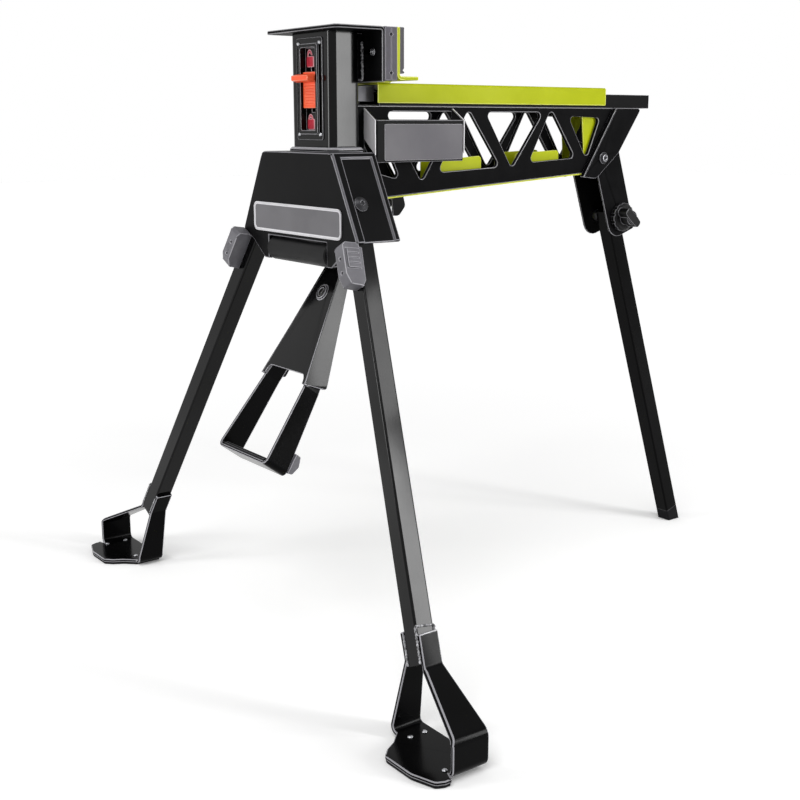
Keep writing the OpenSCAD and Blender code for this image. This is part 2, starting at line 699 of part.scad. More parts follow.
// Pivot bracket of the pedal inside the head
module pedal_bracket() {
    out = beam_x - side_t;
    top = head_z - 12.6;
    color(black) frame() difference() {
        union() {
            for (s = [-1, 1]) along_x(s > 0 ? out - 3 : -out, s > 0 ? out : -out + 3)
                polygon(rounded([[pedal_y - 14, pedal_z - 14], [pedal_y + 14, pedal_z - 14],
                                 [pedal_y + 20, top - 80], [pedal_y + 20, top - 42],
                                 [pedal_y + 10.5, top - 30], [pedal_y + 10.5, top], [-16, top],
                                 [-16, top - 50]], [12, 12, 6, 4, 4, 2, 2, 10]));
            along_x(-out + 3 - eps, out - 3 + eps)
                polygon([[pedal_y + 7.5, top - 30], [pedal_y + 10.5, top - 30],
                         [pedal_y + 10.5, top], [pedal_y + 7.5, top]]);
        }
        translate([0, pedal_y, pedal_z]) bar_x(-out - 1, out + 1, 10.2);
    }
}

module pedal_bolt() {
    out = beam_x - side_t;
    color(steel) frame() translate([0, pedal_y, pedal_z]) {
        bar_x(-out - 5, out + 4, 10);
        translate([out, 0, 0]) dome_head(18, 5);
        translate([-out - 8, 0, 0]) rotate([0, 90, 0]) cylinder(h = 8, d = 17, $fn = 6);
    }
}

module slide_rail() {
    color(green) frame() difference() {
        along_y(rail_y, rail_y + rail_len) difference() {
            polygon(rounded([[-rail_w / 2, rail_top - rail_h], [rail_w / 2, rail_top - rail_h],
                             [rail_w / 2, rail_top], [-rail_w / 2, rail_top]], [0, 0, 3, 3], 4));
            polygon(rounded([[-rail_inner, rail_top - rail_h - 1], [rail_inner, rail_top - rail_h - 1],
                             [rail_inner, rail_top - rail_t], [-rail_inner, rail_top - rail_t]],
                            [0, 0, 1, 1], 2));
        }
    }
}

module rail_glides() {
    z = top_rail_z + top_rail_h + 0.3;
    color([0.85, 0.85, 0.83]) frame() for (y = [rail_y + 10, rail_y + rail_len - 60])
        translate([-20, y, z]) cube([40, 50, rail_top - rail_t - z]);
}

module moving_jaw() {
    c = jaw_front + jaw_t / 2;
    color(green) frame() difference() {
        union() {
            along_x(-half_jaw, half_jaw)
                polygon(strip([[c, table_h], [c, pad_z + 1 + jaw_t / 2],
                               [jaw_front + jaw_foot, pad_z + 1 + jaw_t / 2]], jaw_t, 2.5));
            translate([-rail_inner, jaw_front + 4, rail_top])
                cube([2 * rail_inner, jaw_foot - 6, pad_z + 1.5 - rail_top]);
        }
        for (x = [-1, 1]) translate([x * (half_jaw - 21.4), jaw_front - 1, screw_z])
            rotate([-90, 0, 0]) cylinder(h = jaw_t + 2, d = 6.4);
    }
}

module moving_pad() {
    color(grey) frame() translate([0, parting + pad_gap / 2, 0]) mirror([0, 1, 0]) pad_body(6.4);
}

rear_pad_t = 6.5;
module rear_pad() {
    y = jaw_front + jaw_t;
    color(grey) frame() difference() {
        along_x(-half_jaw, half_jaw)
            polygon(rounded([[y, pad_z + 9.5], [y + rear_pad_t, pad_z + 9.5], [y + rear_pad_t, table_h],
                             [y, table_h]], [0, 1.2, 1.2, 0], 3));
        translate([0, y + rear_pad_t, pad_z + 14]) rotate([45, 0, 0])
            cube([jaw_w + 2, groove_d, groove_d], center = true);
        for (x = [-1, 1]) translate([x * (half_jaw - 21.4), y - 1, screw_z]) rotate([-90, 0, 0]) {
            cylinder(h = rear_pad_t + 2, d = 6.4);
            translate([0, 0, rear_pad_t - 2]) cylinder(h = 5, d = 12);
        }
    }
}

module moving_jaw_screws() {
    y = jaw_front + jaw_t + rear_pad_t - 3;
    color(steel) frame() for (x = [-1, 1])
        translate([x * (half_jaw - 21.4), y, screw_z]) rotate([0, 0, 180]) pan_screw(y - jaw_front + 5);
}

module front_leg() {
    difference() {
        on_leg() translate([0, 0, -leg_len]) linear_extrude(leg_len + 12) difference() {
            rrect(leg_w, leg_w, 3);
            rrect(leg_w - 2 * leg_t, leg_w - 2 * leg_t, 1.4);
        }
        on_leg() bar_x(-leg_w, leg_w, leg_bolt_d);
    }
}
module front_leg_right() { color(black_gloss) frame() front_leg(); }
module front_leg_left() { color(black_gloss) frame() hand(-1) front_leg(); }

latch_top = -57;
latch_low = -118;
latch_out = leg_w / 2 + 5.2;
latch_fit = 0.6;
button_z = [-94, -66];
button_y = [-36, -15.5];
module leg_latch() {
    difference() {
        on_leg() {
            along_x(-2, latch_out)
                polygon(rounded([[-40, latch_low + 16], [-34, latch_low + 2],
                                 [-leg_w / 2 - latch_fit, latch_low],
                                 [-leg_w / 2 - latch_fit, latch_top], [-36, latch_top],
                                 [-40, latch_top - 5]], [5, 4, 0, 0, 3, 3]));
            along_x(leg_w / 2 + latch_fit, latch_out)
                polygon(rounded([[-leg_w / 2 - 2, latch_low], [-11, latch_low + 8], [-10, latch_top - 6],
                                 [-leg_w / 2 - 2, latch_top - 6]], [0, 3, 2, 0]));
        }
        on_side() translate([-leg_inset * 3, -head_front_y - 0.3, -side_len - 0.3])
            cube([leg_inset * 5, 90, side_len]);
        on_leg() translate([leg_w / 2 + 1.6, button_y[0], button_z[0]])
            cube([6, button_y[1] - button_y[0], button_z[1] - button_z[0]]);
        for (z = [-78, -98]) on_leg() translate([8, -35, z]) rotate([90, 0, 0]) cylinder(h = 8, d = 4.4);
    }
}
module leg_latch_right() { color(grey) frame() leg_latch(); }
module leg_latch_left() { color(grey) frame() hand(-1) leg_latch(); }

module latch_button() {
    g = 0.3;
    on_leg() difference() {
        along_x(leg_w / 2 + 4.2, latch_out + 2.6)
            polygon(rounded([[button_y[0] + g, button_z[0] + g], [button_y[1] - g, button_z[0] + g],
                             [button_y[1] - g, button_z[1] - g], [button_y[0] + g, button_z[1] - g]],
                            1.5, 3));
        for (z = [0.25:0.25:0.75])
            translate([latch_out + 2.6, 0, button_z[0] + (button_z[1] - button_z[0]) * z])
                rotate([90, 0, 0]) translate([0, 0, 18]) cylinder(h = 16, d = 1.2);
    }
}
module latch_button_right() { color([0.3, 0.3, 0.32]) frame() latch_button(); }
module latch_button_left() { color([0.3, 0.3, 0.32]) frame() hand(-1) latch_button(); }

// Middle of the front leg at height z, as x and y
function leg_x(z) = head_top_x - leg_inset * cos(side_angle) + leg_pivot_s * sin(side_angle)
    + (leg_pivot_z - z) * tan(side_angle);
function leg_y(z) = leg_pivot_y - (leg_pivot_z - z) * tan(leg_lean) / cos(side_angle);
leg_side = (leg_w + strap_t) / 2 / cos(side_angle);
leg_half_y = leg_w / 2 / cos(leg_lean);
foot_z = sole_t + strap_t / 2;
foot_in = foot_x - foot_len;

// Bent strap that carries the foot, welded to both sides of the leg
module foot_stirrup() {
    back = -foot_back;
    front = back - strap_w;
    mid = foot_in + foot_len * 0.55;
    intersection() {
        along_y(front - 20, back + 30)
            polygon(strip([[leg_x(132) + leg_side, 132], [leg_x(95) + leg_side, 95],
                           [foot_x - strap_t / 2, 50], [foot_x - strap_t / 2, foot_z],
                           [mid, foot_z]], strap_t, 8, 6));
        along_x(0, foot_x + 10)
            polygon([[front, 0], [back, 0], [back, 52], [leg_y(95) + leg_half_y, 95],
                     [leg_y(140) + leg_half_y, 140], [leg_y(140) - leg_half_y, 140],
                     [leg_y(95) - leg_half_y, 95], [front, 48]]);
    }
    intersection() {
        along_y(front - 20, back + 30)
            polygon(strip([[mid, foot_z], [foot_in + strap_t / 2, foot_z],
                           [leg_x(93) - leg_side, 93],
                           [leg_x(124) - leg_side, 124]], strap_t, 6, 6));
        along_x(0, foot_x + 10)
            polygon([[front + 10, 0], [back, 0], [back, 16], [leg_y(93) + leg_half_y, 93],
                     [leg_y(140) + leg_half_y, 140], [leg_y(140) - leg_half_y, 140],
                     [leg_y(93) - leg_half_y, 93], [front + 10, 16]]);
    }
    translate([0, 0, sole_t]) linear_extrude(strap_t) polygon(foot_plan(0));
}
// Plan of the foot plate, drawn in by g
function foot_plan(g) = rounded(inset([
    [foot_in + 12, -foot_back], [foot_in + 12, 10 - foot_back - strap_w],
    [foot_in + 28, 27 - foot_front], [foot_in + 37, 11 - foot_front],
    [foot_in + 48, -foot_front], [foot_in + 98, -foot_front],
    [foot_in + 131, 11 - foot_front], [foot_x + 1, 22 - foot_front],
    [foot_x + 1, -foot_back - strap_w - 3], [foot_x - 14, 3 - foot_back - strap_w],
    [foot_x - 14, -foot_back]], g), [0, 2, 8, 8, 8, 30, 8, 4, 1, 0, 0]);
module foot_stirrup_right() { color(black_gloss) frame() foot_stirrup(); }
module foot_stirrup_left() { color(black_gloss) frame() hand(-1) foot_stirrup(); }

module foot_sole() {
    linear_extrude(sole_t) polygon(foot_plan(1));
}
module foot_sole_right() { color([0.03, 0.03, 0.03]) frame() foot_sole(); }
module foot_sole_left() { color([0.03, 0.03, 0.03]) frame() hand(-1) foot_sole(); }

module foot_rivets() {
    for (p = [[31, 37], [31, 15], [foot_len - 18, 52], [foot_len - 18, 18]])
        translate([foot_in + p[0], -foot_back - p[1], sole_t + strap_t]) {
            cylinder(h = 1, d = 7);
            translate([0, 0, 1]) cylinder(h = 1.2, d1 = 7, d2 = 3.5);
        }
}
module foot_rivets_right() { color(steel) frame() foot_rivets(); }
module foot_rivets_left() { color(steel) frame() hand(-1) foot_rivets(); }

rear_len = rear_pivot_z / cos(rear_lean);
module rear_leg() {
    color(black) frame() difference() {
        on_rear() translate([0, 0, -rear_len + 26]) linear_extrude(rear_len - 14) difference() {
            rrect(leg_w, leg_w, 3);
            rrect(leg_w - 2 * leg_t, leg_w - 2 * leg_t, 1.4);
        }
        on_rear() bar_x(-leg_w, leg_w, 10);
    }
}

module rear_leg_cap() {
    color([0.03, 0.03, 0.03]) frame() difference() {
        on_rear() translate([0, 0, -rear_len - 20]) {
            linear_extrude(46) rrect(leg_w, leg_w, 3);
            linear_extrude(60) rrect(leg_w - 2 * leg_t - 0.4, leg_w - 2 * leg_t - 0.4, 1.2);
        }
        translate([-50, rear_pivot_y, -60]) cube([100, 400, 60]);
    }
}

module rear_pivot_bolt() {
    color(steel) frame() on_rear() {
        bar_x(-channel_out - 4, channel_out + 23, 10 - 2 * run_fit);
        for (s = [-1, 1]) bar_x(s > 0 ? leg_w / 2 + 0.4 : -channel_in, s > 0 ? channel_in : -leg_w / 2 - 0.4, 20);
        translate([-channel_out - 7, 0, 0]) rotate([0, 90, 0]) cylinder(h = 7, d = 17, $fn = 6);
    }
}

module clamp_knob() {
    x = channel_out + 0.4;
    color(grey) frame() on_rear() difference() {
        union() {
            translate([x, 0, 0]) rotate([0, 90, 0]) {
                cylinder(h = 7, d = knob_d);
                translate([0, 0, 7]) cylinder(h = 3, d1 = knob_d, d2 = knob_d - 8);
                cylinder(h = 26, d = 24);
            }
            rotate([-59.6, 0, 0]) along_x(x + 9, x + 29) polygon(rounded(
                [[-20, -6], [-8, -7.5], [8, -7.5], [20, -6], [20, 6], [8, 7.5], [-8, 7.5], [-20, 6]],
                [5, 4, 4, 5, 5, 4, 4, 5]));
        }
        bar_x(x - 1, x + 24, 10);
        for (a = [0:30:330]) rotate([a, 0, 0]) translate([0, knob_d / 2 + 2.2, 0])
            bar_x(x - 1, x + 12, 7);
    }
}

// Pedal frame: local z runs up the arm
module on_pedal() { translate([0, pedal_y, pedal_z]) rotate([-pedal_lean, 0, 0]) children(); }
arm_low = -200;
arm_top = 12;
arm_top_w = 13;
arm_taper = atan2(pedal_w / 2 - arm_top_w, arm_top - arm_low);
web_y = -9;

module pedal_arm() {
    web_top = arm_top - pedal_t * sin(arm_taper) - 0.5;
    web = [[-arm_top_w + 0.6, web_top], [-pedal_w / 2 + 0.6, arm_low],
           [-pedal_w / 2 + 8, arm_low], [-pedal_w / 2 + 12, arm_low + 14],
           [pedal_w / 2 - 12, arm_low + 14], [pedal_w / 2 - 8, arm_low],
           [pedal_w / 2 - 0.6, arm_low], [arm_top_w - 0.6, web_top]];
    reach = (arm_top - arm_low) / cos(arm_taper);
    color(black) frame() on_pedal() difference() {
        union() {
            translate([0, web_y + pedal_t, 0]) rotate([90, 0, 0]) linear_extrude(pedal_t)
                polygon(rounded(web, [0, 0, 3, 8, 8, 3, 0, 0]));
            for (s = [-1, 1]) translate([s * arm_top_w, 0, arm_top]) rotate([0, -s * arm_taper, 0])
                along_x(s > 0 ? -pedal_t : 0, s > 0 ? 0 : pedal_t)
                    polygon(rounded([[web_y, 0], [web_y, -reach], [web_y + 40, 8 - reach],
                                     [web_y + 19, -40], [web_y + 19, 0]], [3, 0, 6, 20, 8]));
            bar_x(-channel_in + 0.4, channel_in - 0.4, 16.4);
            translate([0, web_y + 1, -62]) rotate([90, 0, 0]) cylinder(h = 4, d1 = 24.8, d2 = 21);
        }
        bar_x(-40, 40, 10 + 2 * run_fit);
        translate([0, web_y - 6, -62]) rotate([-90, 0, 0]) cylinder(h = pedal_t + 12, d = 12);
    }
}

// Stirrup frame: its origin is at the web's lower end, tipped a little further forward
module on_stirrup() {
    on_pedal() translate([0, web_y, arm_low]) rotate([-6.2, 0, 0]) children();
}
stirrup_len = 123;
stirrup_top_y = 29;
tread_y = 4.6;
tread_d = 38.4;
module pedal_stirrup() {
    in = pedal_w / 2 - pedal_t / cos(arm_taper) - 2.1;
    color(black) frame() on_stirrup() intersection() {
        along_y(3.3, tread_y + tread_d + 1.4)
            polygon(strip([[in - 24 * tan(arm_taper), 24], [in, 0], [tread_w / 2 - 2, -stirrup_len],
                           [-tread_w / 2 + 2, -stirrup_len], [-in, 0],
                           [-in + 24 * tan(arm_taper), 24]], 4, 5));
        along_x(-tread_w, tread_w) polygon([[3.3, -stirrup_len - 4],
                                            [tread_y + tread_d + 1.4, -stirrup_len - 4],
                                            [stirrup_top_y, 30], [3.3, 30]]);
    }
}

module pedal_tread() {
    color([0.07, 0.07, 0.07]) frame() on_stirrup() translate([0, 0, -stirrup_len + 2])
        along_x(-tread_w / 2 + 12, tread_w / 2 - 12)
            polygon(concat([[tread_y + tread_d, 0], [tread_y + tread_d, 3]],
                           [for (i = [5:-1:0]) let (y = tread_y + i * tread_d / 6)
                               each [[y + 5.4, 3], [y + 4.4, 6], [y + 2, 6], [y + 1, 3]]],
                           [[tread_y, 3], [tread_y, 0]]));
}

module pedal_bumper() {
    rear = tread_y + tread_d + 1.4;
    slope = (rear - stirrup_top_y) / (stirrup_len + 34);
    color(grey) frame() on_stirrup() translate([tread_w / 2 - 5, 0, 0])
        along_x(-6, 6) polygon(rounded([[rear - 8 * slope + 0.1, -stirrup_len + 4], [rear + 7, -stirrup_len + 6],
                                        [rear + 11, -stirrup_len + 20], [rear + 5, -stirrup_len + 34],
                                        [rear - 38 * slope + 0.1, -stirrup_len + 34]], [0, 4, 6, 5, 0]));
}

top_plate();
fixed_pad();
fixed_pad_screws();
tower();
jaw_gussets();
collar();
switch_plate();
switch_rivets();
lock_switch();
head_top();
head_front();
head_side_left();
head_side_right();
name_plate();
leg_bolt_left();
leg_bolt_right();
roller();
roller_axle();
side_plate_left();
side_plate_right();
inner_channel();
top_rail();
guide_block();
beam_spacers();
label_box();
label_box_ends();
label_panel();
rear_gusset_left();
rear_gusset_right();
rear_channel();
rear_bolts();
leg_catch();
pedal_bracket();
pedal_bolt();
slide_rail();
rail_glides();
moving_jaw();
moving_pad();
rear_pad();
moving_jaw_screws();
front_leg_left();
front_leg_right();
leg_latch_left();
leg_latch_right();
latch_button_left();
latch_button_right();
foot_stirrup_left();
foot_stirrup_right();
foot_sole_left();
foot_sole_right();
foot_rivets_left();
foot_rivets_right();
rear_leg();
rear_leg_cap();
rear_pivot_bolt();
clamp_knob();
pedal_arm();
pedal_stirrup();
pedal_tread();
pedal_bumper();
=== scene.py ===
"""Portable clamping work stand: finishes, welds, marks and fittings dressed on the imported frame.

Sizes are metres in the frame's own axes: +X towards the knob's side, +Y away from the user,
+Z up, with the origin on the ground in the middle of the three feet.
"""

from __future__ import annotations

import json
import logging
import math
from dataclasses import dataclass, replace
from enum import Enum

import bmesh
import bpy
from mathutils import Matrix, Vector

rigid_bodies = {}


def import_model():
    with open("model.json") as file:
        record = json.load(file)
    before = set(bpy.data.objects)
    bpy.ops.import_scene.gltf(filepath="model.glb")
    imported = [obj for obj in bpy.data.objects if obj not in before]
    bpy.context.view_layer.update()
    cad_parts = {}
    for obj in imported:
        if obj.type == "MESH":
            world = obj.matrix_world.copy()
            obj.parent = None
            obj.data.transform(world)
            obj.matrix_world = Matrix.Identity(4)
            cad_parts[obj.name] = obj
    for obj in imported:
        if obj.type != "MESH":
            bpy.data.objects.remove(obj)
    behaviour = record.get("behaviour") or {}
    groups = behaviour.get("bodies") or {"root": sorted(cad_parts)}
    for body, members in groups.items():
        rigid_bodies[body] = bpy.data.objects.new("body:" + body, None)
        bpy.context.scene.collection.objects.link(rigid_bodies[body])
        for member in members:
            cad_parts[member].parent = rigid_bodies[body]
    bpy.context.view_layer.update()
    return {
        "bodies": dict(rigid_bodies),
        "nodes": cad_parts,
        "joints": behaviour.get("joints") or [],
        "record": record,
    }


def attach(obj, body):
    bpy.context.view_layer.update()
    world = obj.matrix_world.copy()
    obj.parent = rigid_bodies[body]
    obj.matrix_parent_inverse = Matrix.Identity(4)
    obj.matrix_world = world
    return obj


LOG = logging.getLogger("work_stand")
MM = 0.001
TOWER_OFFSET = 298.64 * MM

Point = tuple[float, float, float]

# A mix node's two colours and its mixed colour, by the numbers of their sockets.
FIRST_COLOUR, SECOND_COLOUR = 6, 7
MIXED_COLOUR = 2

# Noise: its finer layers, how strongly they count, and the middle of it that the looks use.
MOTTLE_DETAIL = 5.0
GRAIN_DETAIL = 2.0
NOISE_ROUGHNESS = 0.55
COLOUR_SPREAD = (0.35, 0.65)
SHINE_SPREAD = (0.3, 0.7)

# An eased edge: how much its roughness varies and the least that it shines.
EDGE_ROUGHNESS_SPREAD = 0.1
EDGE_SPECULAR = 0.4

# Modifiers: metres between points that are one, degrees of a bend that is eased or kept sharp.
WELD_REACH = 0.00001
EASED_ANGLE = 38
SHARP_ANGLE = 30
EASE_SEGMENTS = 2
FULL_WEIGHT = 100

# A weld's outline: rings of points in one puddle, the scale of its ends, waist and swell, and
# how far and how fast its size and its line wander.
PUDDLE_RINGS = 4
LEAST_PUDDLES = 3
START_SCALE = 0.6
END_SCALE = 0.5
WAIST = 0.62
SWELL = 0.38
RIPPLE, RIPPLE_RATE = 0.06, 2.3
SWAY, SWAY_RATE = 0.12, 0.9

# Points round a bar, round a tile's corner and along a half ring.
BAR_SIDES = 8
CORNER_SEGMENTS = 6
HALF_RING_STEPS = 18


def linear(code: str) -> tuple[float, float, float, float]:
    """Turns an sRGB hex colour into linear RGBA.

    Args:
        code: six hex digits after a hash sign.

    Returns:
        The linear red, green, blue and an alpha of one.
    """
    parts = [int(code[i : i + 2], 16) / 255 for i in (1, 3, 5)]
    rgb = [c / 12.92 if c <= 0.04045 else ((c + 0.055) / 1.055) ** 2.4 for c in parts]
    return (rgb[0], rgb[1], rgb[2], 1.0)


def place(x: float, y: float, z: float) -> Vector:
    """A point given in millimetres with y counted from the tower's centre.

    Args:
        x: millimetres across the stand.
        y: millimetres behind the tower's centre.
        z: millimetres above the ground.

    Returns:
        The point in the frame, in metres.
    """
    return Vector((x * MM, y * MM - TOWER_OFFSET, z * MM))


def node(
    tree: bpy.types.NodeTree,
    kind: str,
    settings: dict[str, object] | None = None,
    links: dict[str | int, bpy.types.NodeSocket] | None = None,
) -> bpy.types.Node:
    """Adds one shader node.

    Args:
        tree: the material's node tree.
        kind: the node's type name.
        settings: node properties, or input values where the name is an input.
        links: sockets to plug into the named or numbered inputs.

    Returns:
        The new node.
    """
    made = tree.nodes.new(kind)
    for name, value in (settings or {}).items():
        if name in made.inputs:
            made.inputs[name].default_value = value
        else:
            setattr(made, name, value)
    for name, socket in (links or {}).items():
        tree.links.new(socket, made.inputs[name])
    return made


@dataclass(frozen=True)
class Finish:
    """One real finish: its colours, shine, surface grain and wear.

    The grain is a bump of a real wavelength. The mottle varies colour and roughness slowly,
    as handling and dust do. The edge colour is a painted highlight: a lighter colour laid on
    eased edges only, standing in for the light that they catch.
    """

    name: str
    base: str
    second: str
    roughness: float
    roughness_second: float
    metallic: float = 0.0
    specular: float = 0.5
    grain_mm: float = 2.0
    grain_depth_mm: float = 0.02
    mottle_mm: float = 60.0
    # A painted highlight: the lighter colour laid on eased edges.
    edge: str | None = None
    edge_roughness: float = 0.25

    def with_edge_highlight(self) -> "Finish":
        """The same coat as a painted highlight on an eased edge: lighter in colour and shinier.

        Returns:
            The finish of the edges.
        """
        colour = self.edge or self.base
        return replace(
            self,
            name=f"{self.name}_edge",
            base=colour,
            second=colour,
            roughness=self.edge_roughness,
            roughness_second=self.edge_roughness + EDGE_ROUGHNESS_SPREAD,
            edge=None,
            specular=max(self.specular, EDGE_SPECULAR),
        )

    def build(self) -> bpy.types.Material:
        """Makes the procedural material.

        Returns:
            The material, with its pattern on object coordinates.
        """
        material = bpy.data.materials.new(self.name)
        material.use_nodes = True
        tree = material.node_tree
        tree.nodes.clear()
        where = node(tree, "ShaderNodeTexCoord").outputs["Object"]
        mottle = self._noise(tree, where, self.mottle_mm, MOTTLE_DETAIL)
        grain = self._noise(tree, where, self.grain_mm, GRAIN_DETAIL)
        spread = self._range(tree, mottle, *COLOUR_SPREAD, 0.0, 1.0)
        shine = self._range(tree, mottle, *SHINE_SPREAD, self.roughness, self.roughness_second)
        blend = node(tree, "ShaderNodeMix", {"data_type": "RGBA"}, {0: spread})
        blend.inputs[FIRST_COLOUR].default_value = linear(self.base)
        blend.inputs[SECOND_COLOUR].default_value = linear(self.second)
        bump = node(
            tree, "ShaderNodeBump", {"Distance": self.grain_depth_mm * MM}, {"Height": grain}
        )
        shader = node(
            tree,
            "ShaderNodeBsdfPrincipled",
            {"Metallic": self.metallic, "Specular IOR Level": self.specular},
            {
                "Base Color": blend.outputs[MIXED_COLOUR],
                "Roughness": shine,
                "Normal": bump.outputs["Normal"],
            },
        )
        node(tree, "ShaderNodeOutputMaterial", {}, {"Surface": shader.outputs["BSDF"]})
        return material

    @staticmethod
    def _noise(
        tree: bpy.types.NodeTree, where: bpy.types.NodeSocket, wave_mm: float, detail: float
    ) -> bpy.types.NodeSocket:
        """A noise whose waves have a real length.

        Args:
            tree: the material's node tree.
            where: the object coordinates.
            wave_mm: the length of one wave.
            detail: how many finer layers it has.

        Returns:
            The noise's value.
        """
        settings = {"Scale": 1 / (wave_mm * MM), "Detail": detail, "Roughness": NOISE_ROUGHNESS}
        return node(tree, "ShaderNodeTexNoise", settings, {"Vector": where}).outputs["Fac"]

    @staticmethod
    def _range(
        tree: bpy.types.NodeTree,
        value: bpy.types.NodeSocket,
        low: float,
        high: float,
        to_low: float,
        to_high: float,
    ) -> bpy.types.NodeSocket:
        """Maps a value from one range to another.

        Args:
            tree: the material's node tree.
            value: the value to map.
            low: where the range begins.
            high: where the range ends.
            to_low: what the beginning becomes.
            to_high: what the end becomes.

        Returns:
            The mapped value.
        """
        settings = {"From Min": low, "From Max": high, "To Min": to_low, "To Max": to_high}
        return node(tree, "ShaderNodeMapRange", settings, {"Value": value}).outputs["Result"]


class Coat(Enum):
    """The finishes of this stand."""

    # Each edge colour below is a painted highlight for the eased edges.
    # Gloss powder coat on tube and folded sheet: deep black with an orange peel of 3 mm waves.
    GLOSS_BLACK = Finish(
        "gloss_black_powder_coat", "#030303", "#060607", 0.09, 0.14, specular=0.15,
        grain_mm=3.2, grain_depth_mm=0.006, edge="#9c9ba0", edge_roughness=0.14,
    )
    # The same coat on the collar, the feet, the pedal's stirrup and the rear leg, with less sheen,
    # so that these parts come out deeper and darker: a shaded copy of it, painted shade.
    SHADED_GLOSS_BLACK = Finish(
        "shaded_gloss_black_powder_coat", "#030303", "#060607", 0.14, 0.2, specular=0.05,
        grain_mm=3.2, grain_depth_mm=0.006, edge="#9c9ba0", edge_roughness=0.14,
    )
    # Satin powder coat on pressed sheet: dull black with a finer peel.
    SATIN_BLACK = Finish(
        "satin_black_powder_coat", "#050506", "#0a0a0b", 0.36, 0.46, specular=0.05,
        grain_mm=1.8, grain_depth_mm=0.015, edge="#737277", edge_roughness=0.3,
    )
    # Worn black paint of the top plate and the beam's sheet: dull, cloudy from handling.
    HANDLED_BLACK = Finish(
        "handled_black_powder_coat", "#070708", "#0f0f10", 0.42, 0.52, specular=0.02,
        grain_mm=2.2, grain_depth_mm=0.015, mottle_mm=35, edge="#7b7a7e", edge_roughness=0.25,
    )
    # Lime enamel, baked on: even and glossy, with a slight waviness.
    LIME = Finish(
        "baked_lime_enamel", "#acb500", "#a5ae00", 0.32, 0.42, specular=0.08,
        grain_mm=4.0, grain_depth_mm=0.01, edge="#d9dd58",
    )
    # Zinc plated steel, barrelled before plating: dull bright metal with fine pits.
    ZINC = Finish(
        "zinc_plated_steel", "#b4b5b8", "#96979b", 0.28, 0.42, metallic=1.0,
        grain_mm=0.8, grain_depth_mm=0.01,
    )
    # Blackened fasteners: oxide over turned steel, with a dry grey sheen; their bright rims
    # are a painted highlight on the eased edges.
    BLACK_OXIDE = Finish(
        "black_oxide_steel", "#2e2e31", "#222225", 0.34, 0.5, metallic=0.7,
        grain_mm=0.8, grain_depth_mm=0.01, edge="#b4b4b8",
    )
    # Phosphated guide block: even mid grey, matt.
    PHOSPHATE = Finish(
        "phosphated_steel", "#68686d", "#5a5a60", 0.5, 0.6, metallic=0.3,
        grain_mm=0.8, grain_depth_mm=0.01, edge="#8d8d92",
    )
    # Cast urethane of the jaw pads: warm grey, cloudy, with an open matt skin.
    URETHANE = Finish(
        "cast_grey_urethane", "#434046", "#54515a", 0.5, 0.66, specular=0.3,
        grain_mm=1.2, grain_depth_mm=0.05, mottle_mm=14, edge="#8f8c93", edge_roughness=0.5,
    )
    # Darker urethane of the rear pad.
    DARK_URETHANE = Finish(
        "cast_dark_urethane", "#3b393e", "#48464b", 0.5, 0.66, specular=0.3,
        grain_mm=1.2, grain_depth_mm=0.05, mottle_mm=14, edge="#6a686d", edge_roughness=0.5,
    )
    # Nylon with a spark-eroded mould texture: black, dry-looking.
    BLACK_NYLON = Finish(
        "moulded_black_nylon", "#080809", "#101011", 0.34, 0.46, specular=0.12,
        grain_mm=0.7, grain_depth_mm=0.03, edge="#5d5c60", edge_roughness=0.3,
    )
    # Grey nylon of the latches and the bumper, paler where the mould opened.
    GREY_NYLON = Finish(
        "moulded_grey_nylon", "#5f5e63", "#6d6c71", 0.42, 0.55, specular=0.3,
        grain_mm=0.7, grain_depth_mm=0.03, mottle_mm=18, edge="#a9a8ad", edge_roughness=0.35,
    )
    # Natural light-grey polythene of the label box's end caps and the rail's glides.
    PALE_PLASTIC = Finish(
        "moulded_pale_polythene", "#efedf0", "#e6e4e7", 0.5, 0.6, specular=0.3,
        grain_mm=1.0, grain_depth_mm=0.02,
    )
    # Orange ABS of the lock switch: gloss moulding, a trace of flow marks.
    ORANGE_ABS = Finish(
        "moulded_orange_abs", "#fb6238", "#f4572d", 0.34, 0.44, specular=0.25,
        grain_mm=2.0, grain_depth_mm=0.01, mottle_mm=20, edge="#ff8a62",
    )
    # Red printing ink on the switch's tray: thin, slightly uneven.
    RED_INK = Finish(
        "screen_printed_red_ink", "#a3182c", "#c02a40", 0.4, 0.5, specular=0.25,
        grain_mm=0.8, grain_depth_mm=0.005, mottle_mm=5,
    )
    # Pink ink that outlines the red, as printed; the wider band of it on the right is a painted
    # highlight.
    PINK_INK = Finish(
        "screen_printed_pink_ink", "#d7a3aa", "#c98f97", 0.4, 0.5, specular=0.25,
        grain_mm=0.8, grain_depth_mm=0.005, mottle_mm=5,
    )
    # Moulded rubber of the soles and the tread.
    RUBBER = Finish(
        "moulded_black_rubber", "#0c0c0d", "#151516", 0.6, 0.75, specular=0.08,
        grain_mm=1.0, grain_depth_mm=0.05, edge="#3d3d3f", edge_roughness=0.5,
    )
    # The label panel's aluminium, left bare: fine, even, slightly warm grey.
    BARE_PLATE = Finish(
        "anodised_aluminium_plate", "#636165", "#5b595e", 0.4, 0.5, specular=0.2,
        grain_mm=0.6, grain_depth_mm=0.01, mottle_mm=90, edge="#dddce0",
    )
    # The grey field printed inside the name plate's rim: even satin lacquer.
    GREY_FIELD = Finish(
        "grey_satin_lacquer", "#636265", "#6c6b6e", 0.4, 0.5, specular=0.2,
        grain_mm=1.2, grain_depth_mm=0.01,
    )
    # The name plate's rim, polished bare metal.
    BRIGHT_RIM = Finish(
        "polished_aluminium_rim", "#d2d1d4", "#c4c3c7", 0.3, 0.4, specular=0.4,
        grain_mm=0.6, grain_depth_mm=0.01, mottle_mm=30, edge="#efeef0",
    )
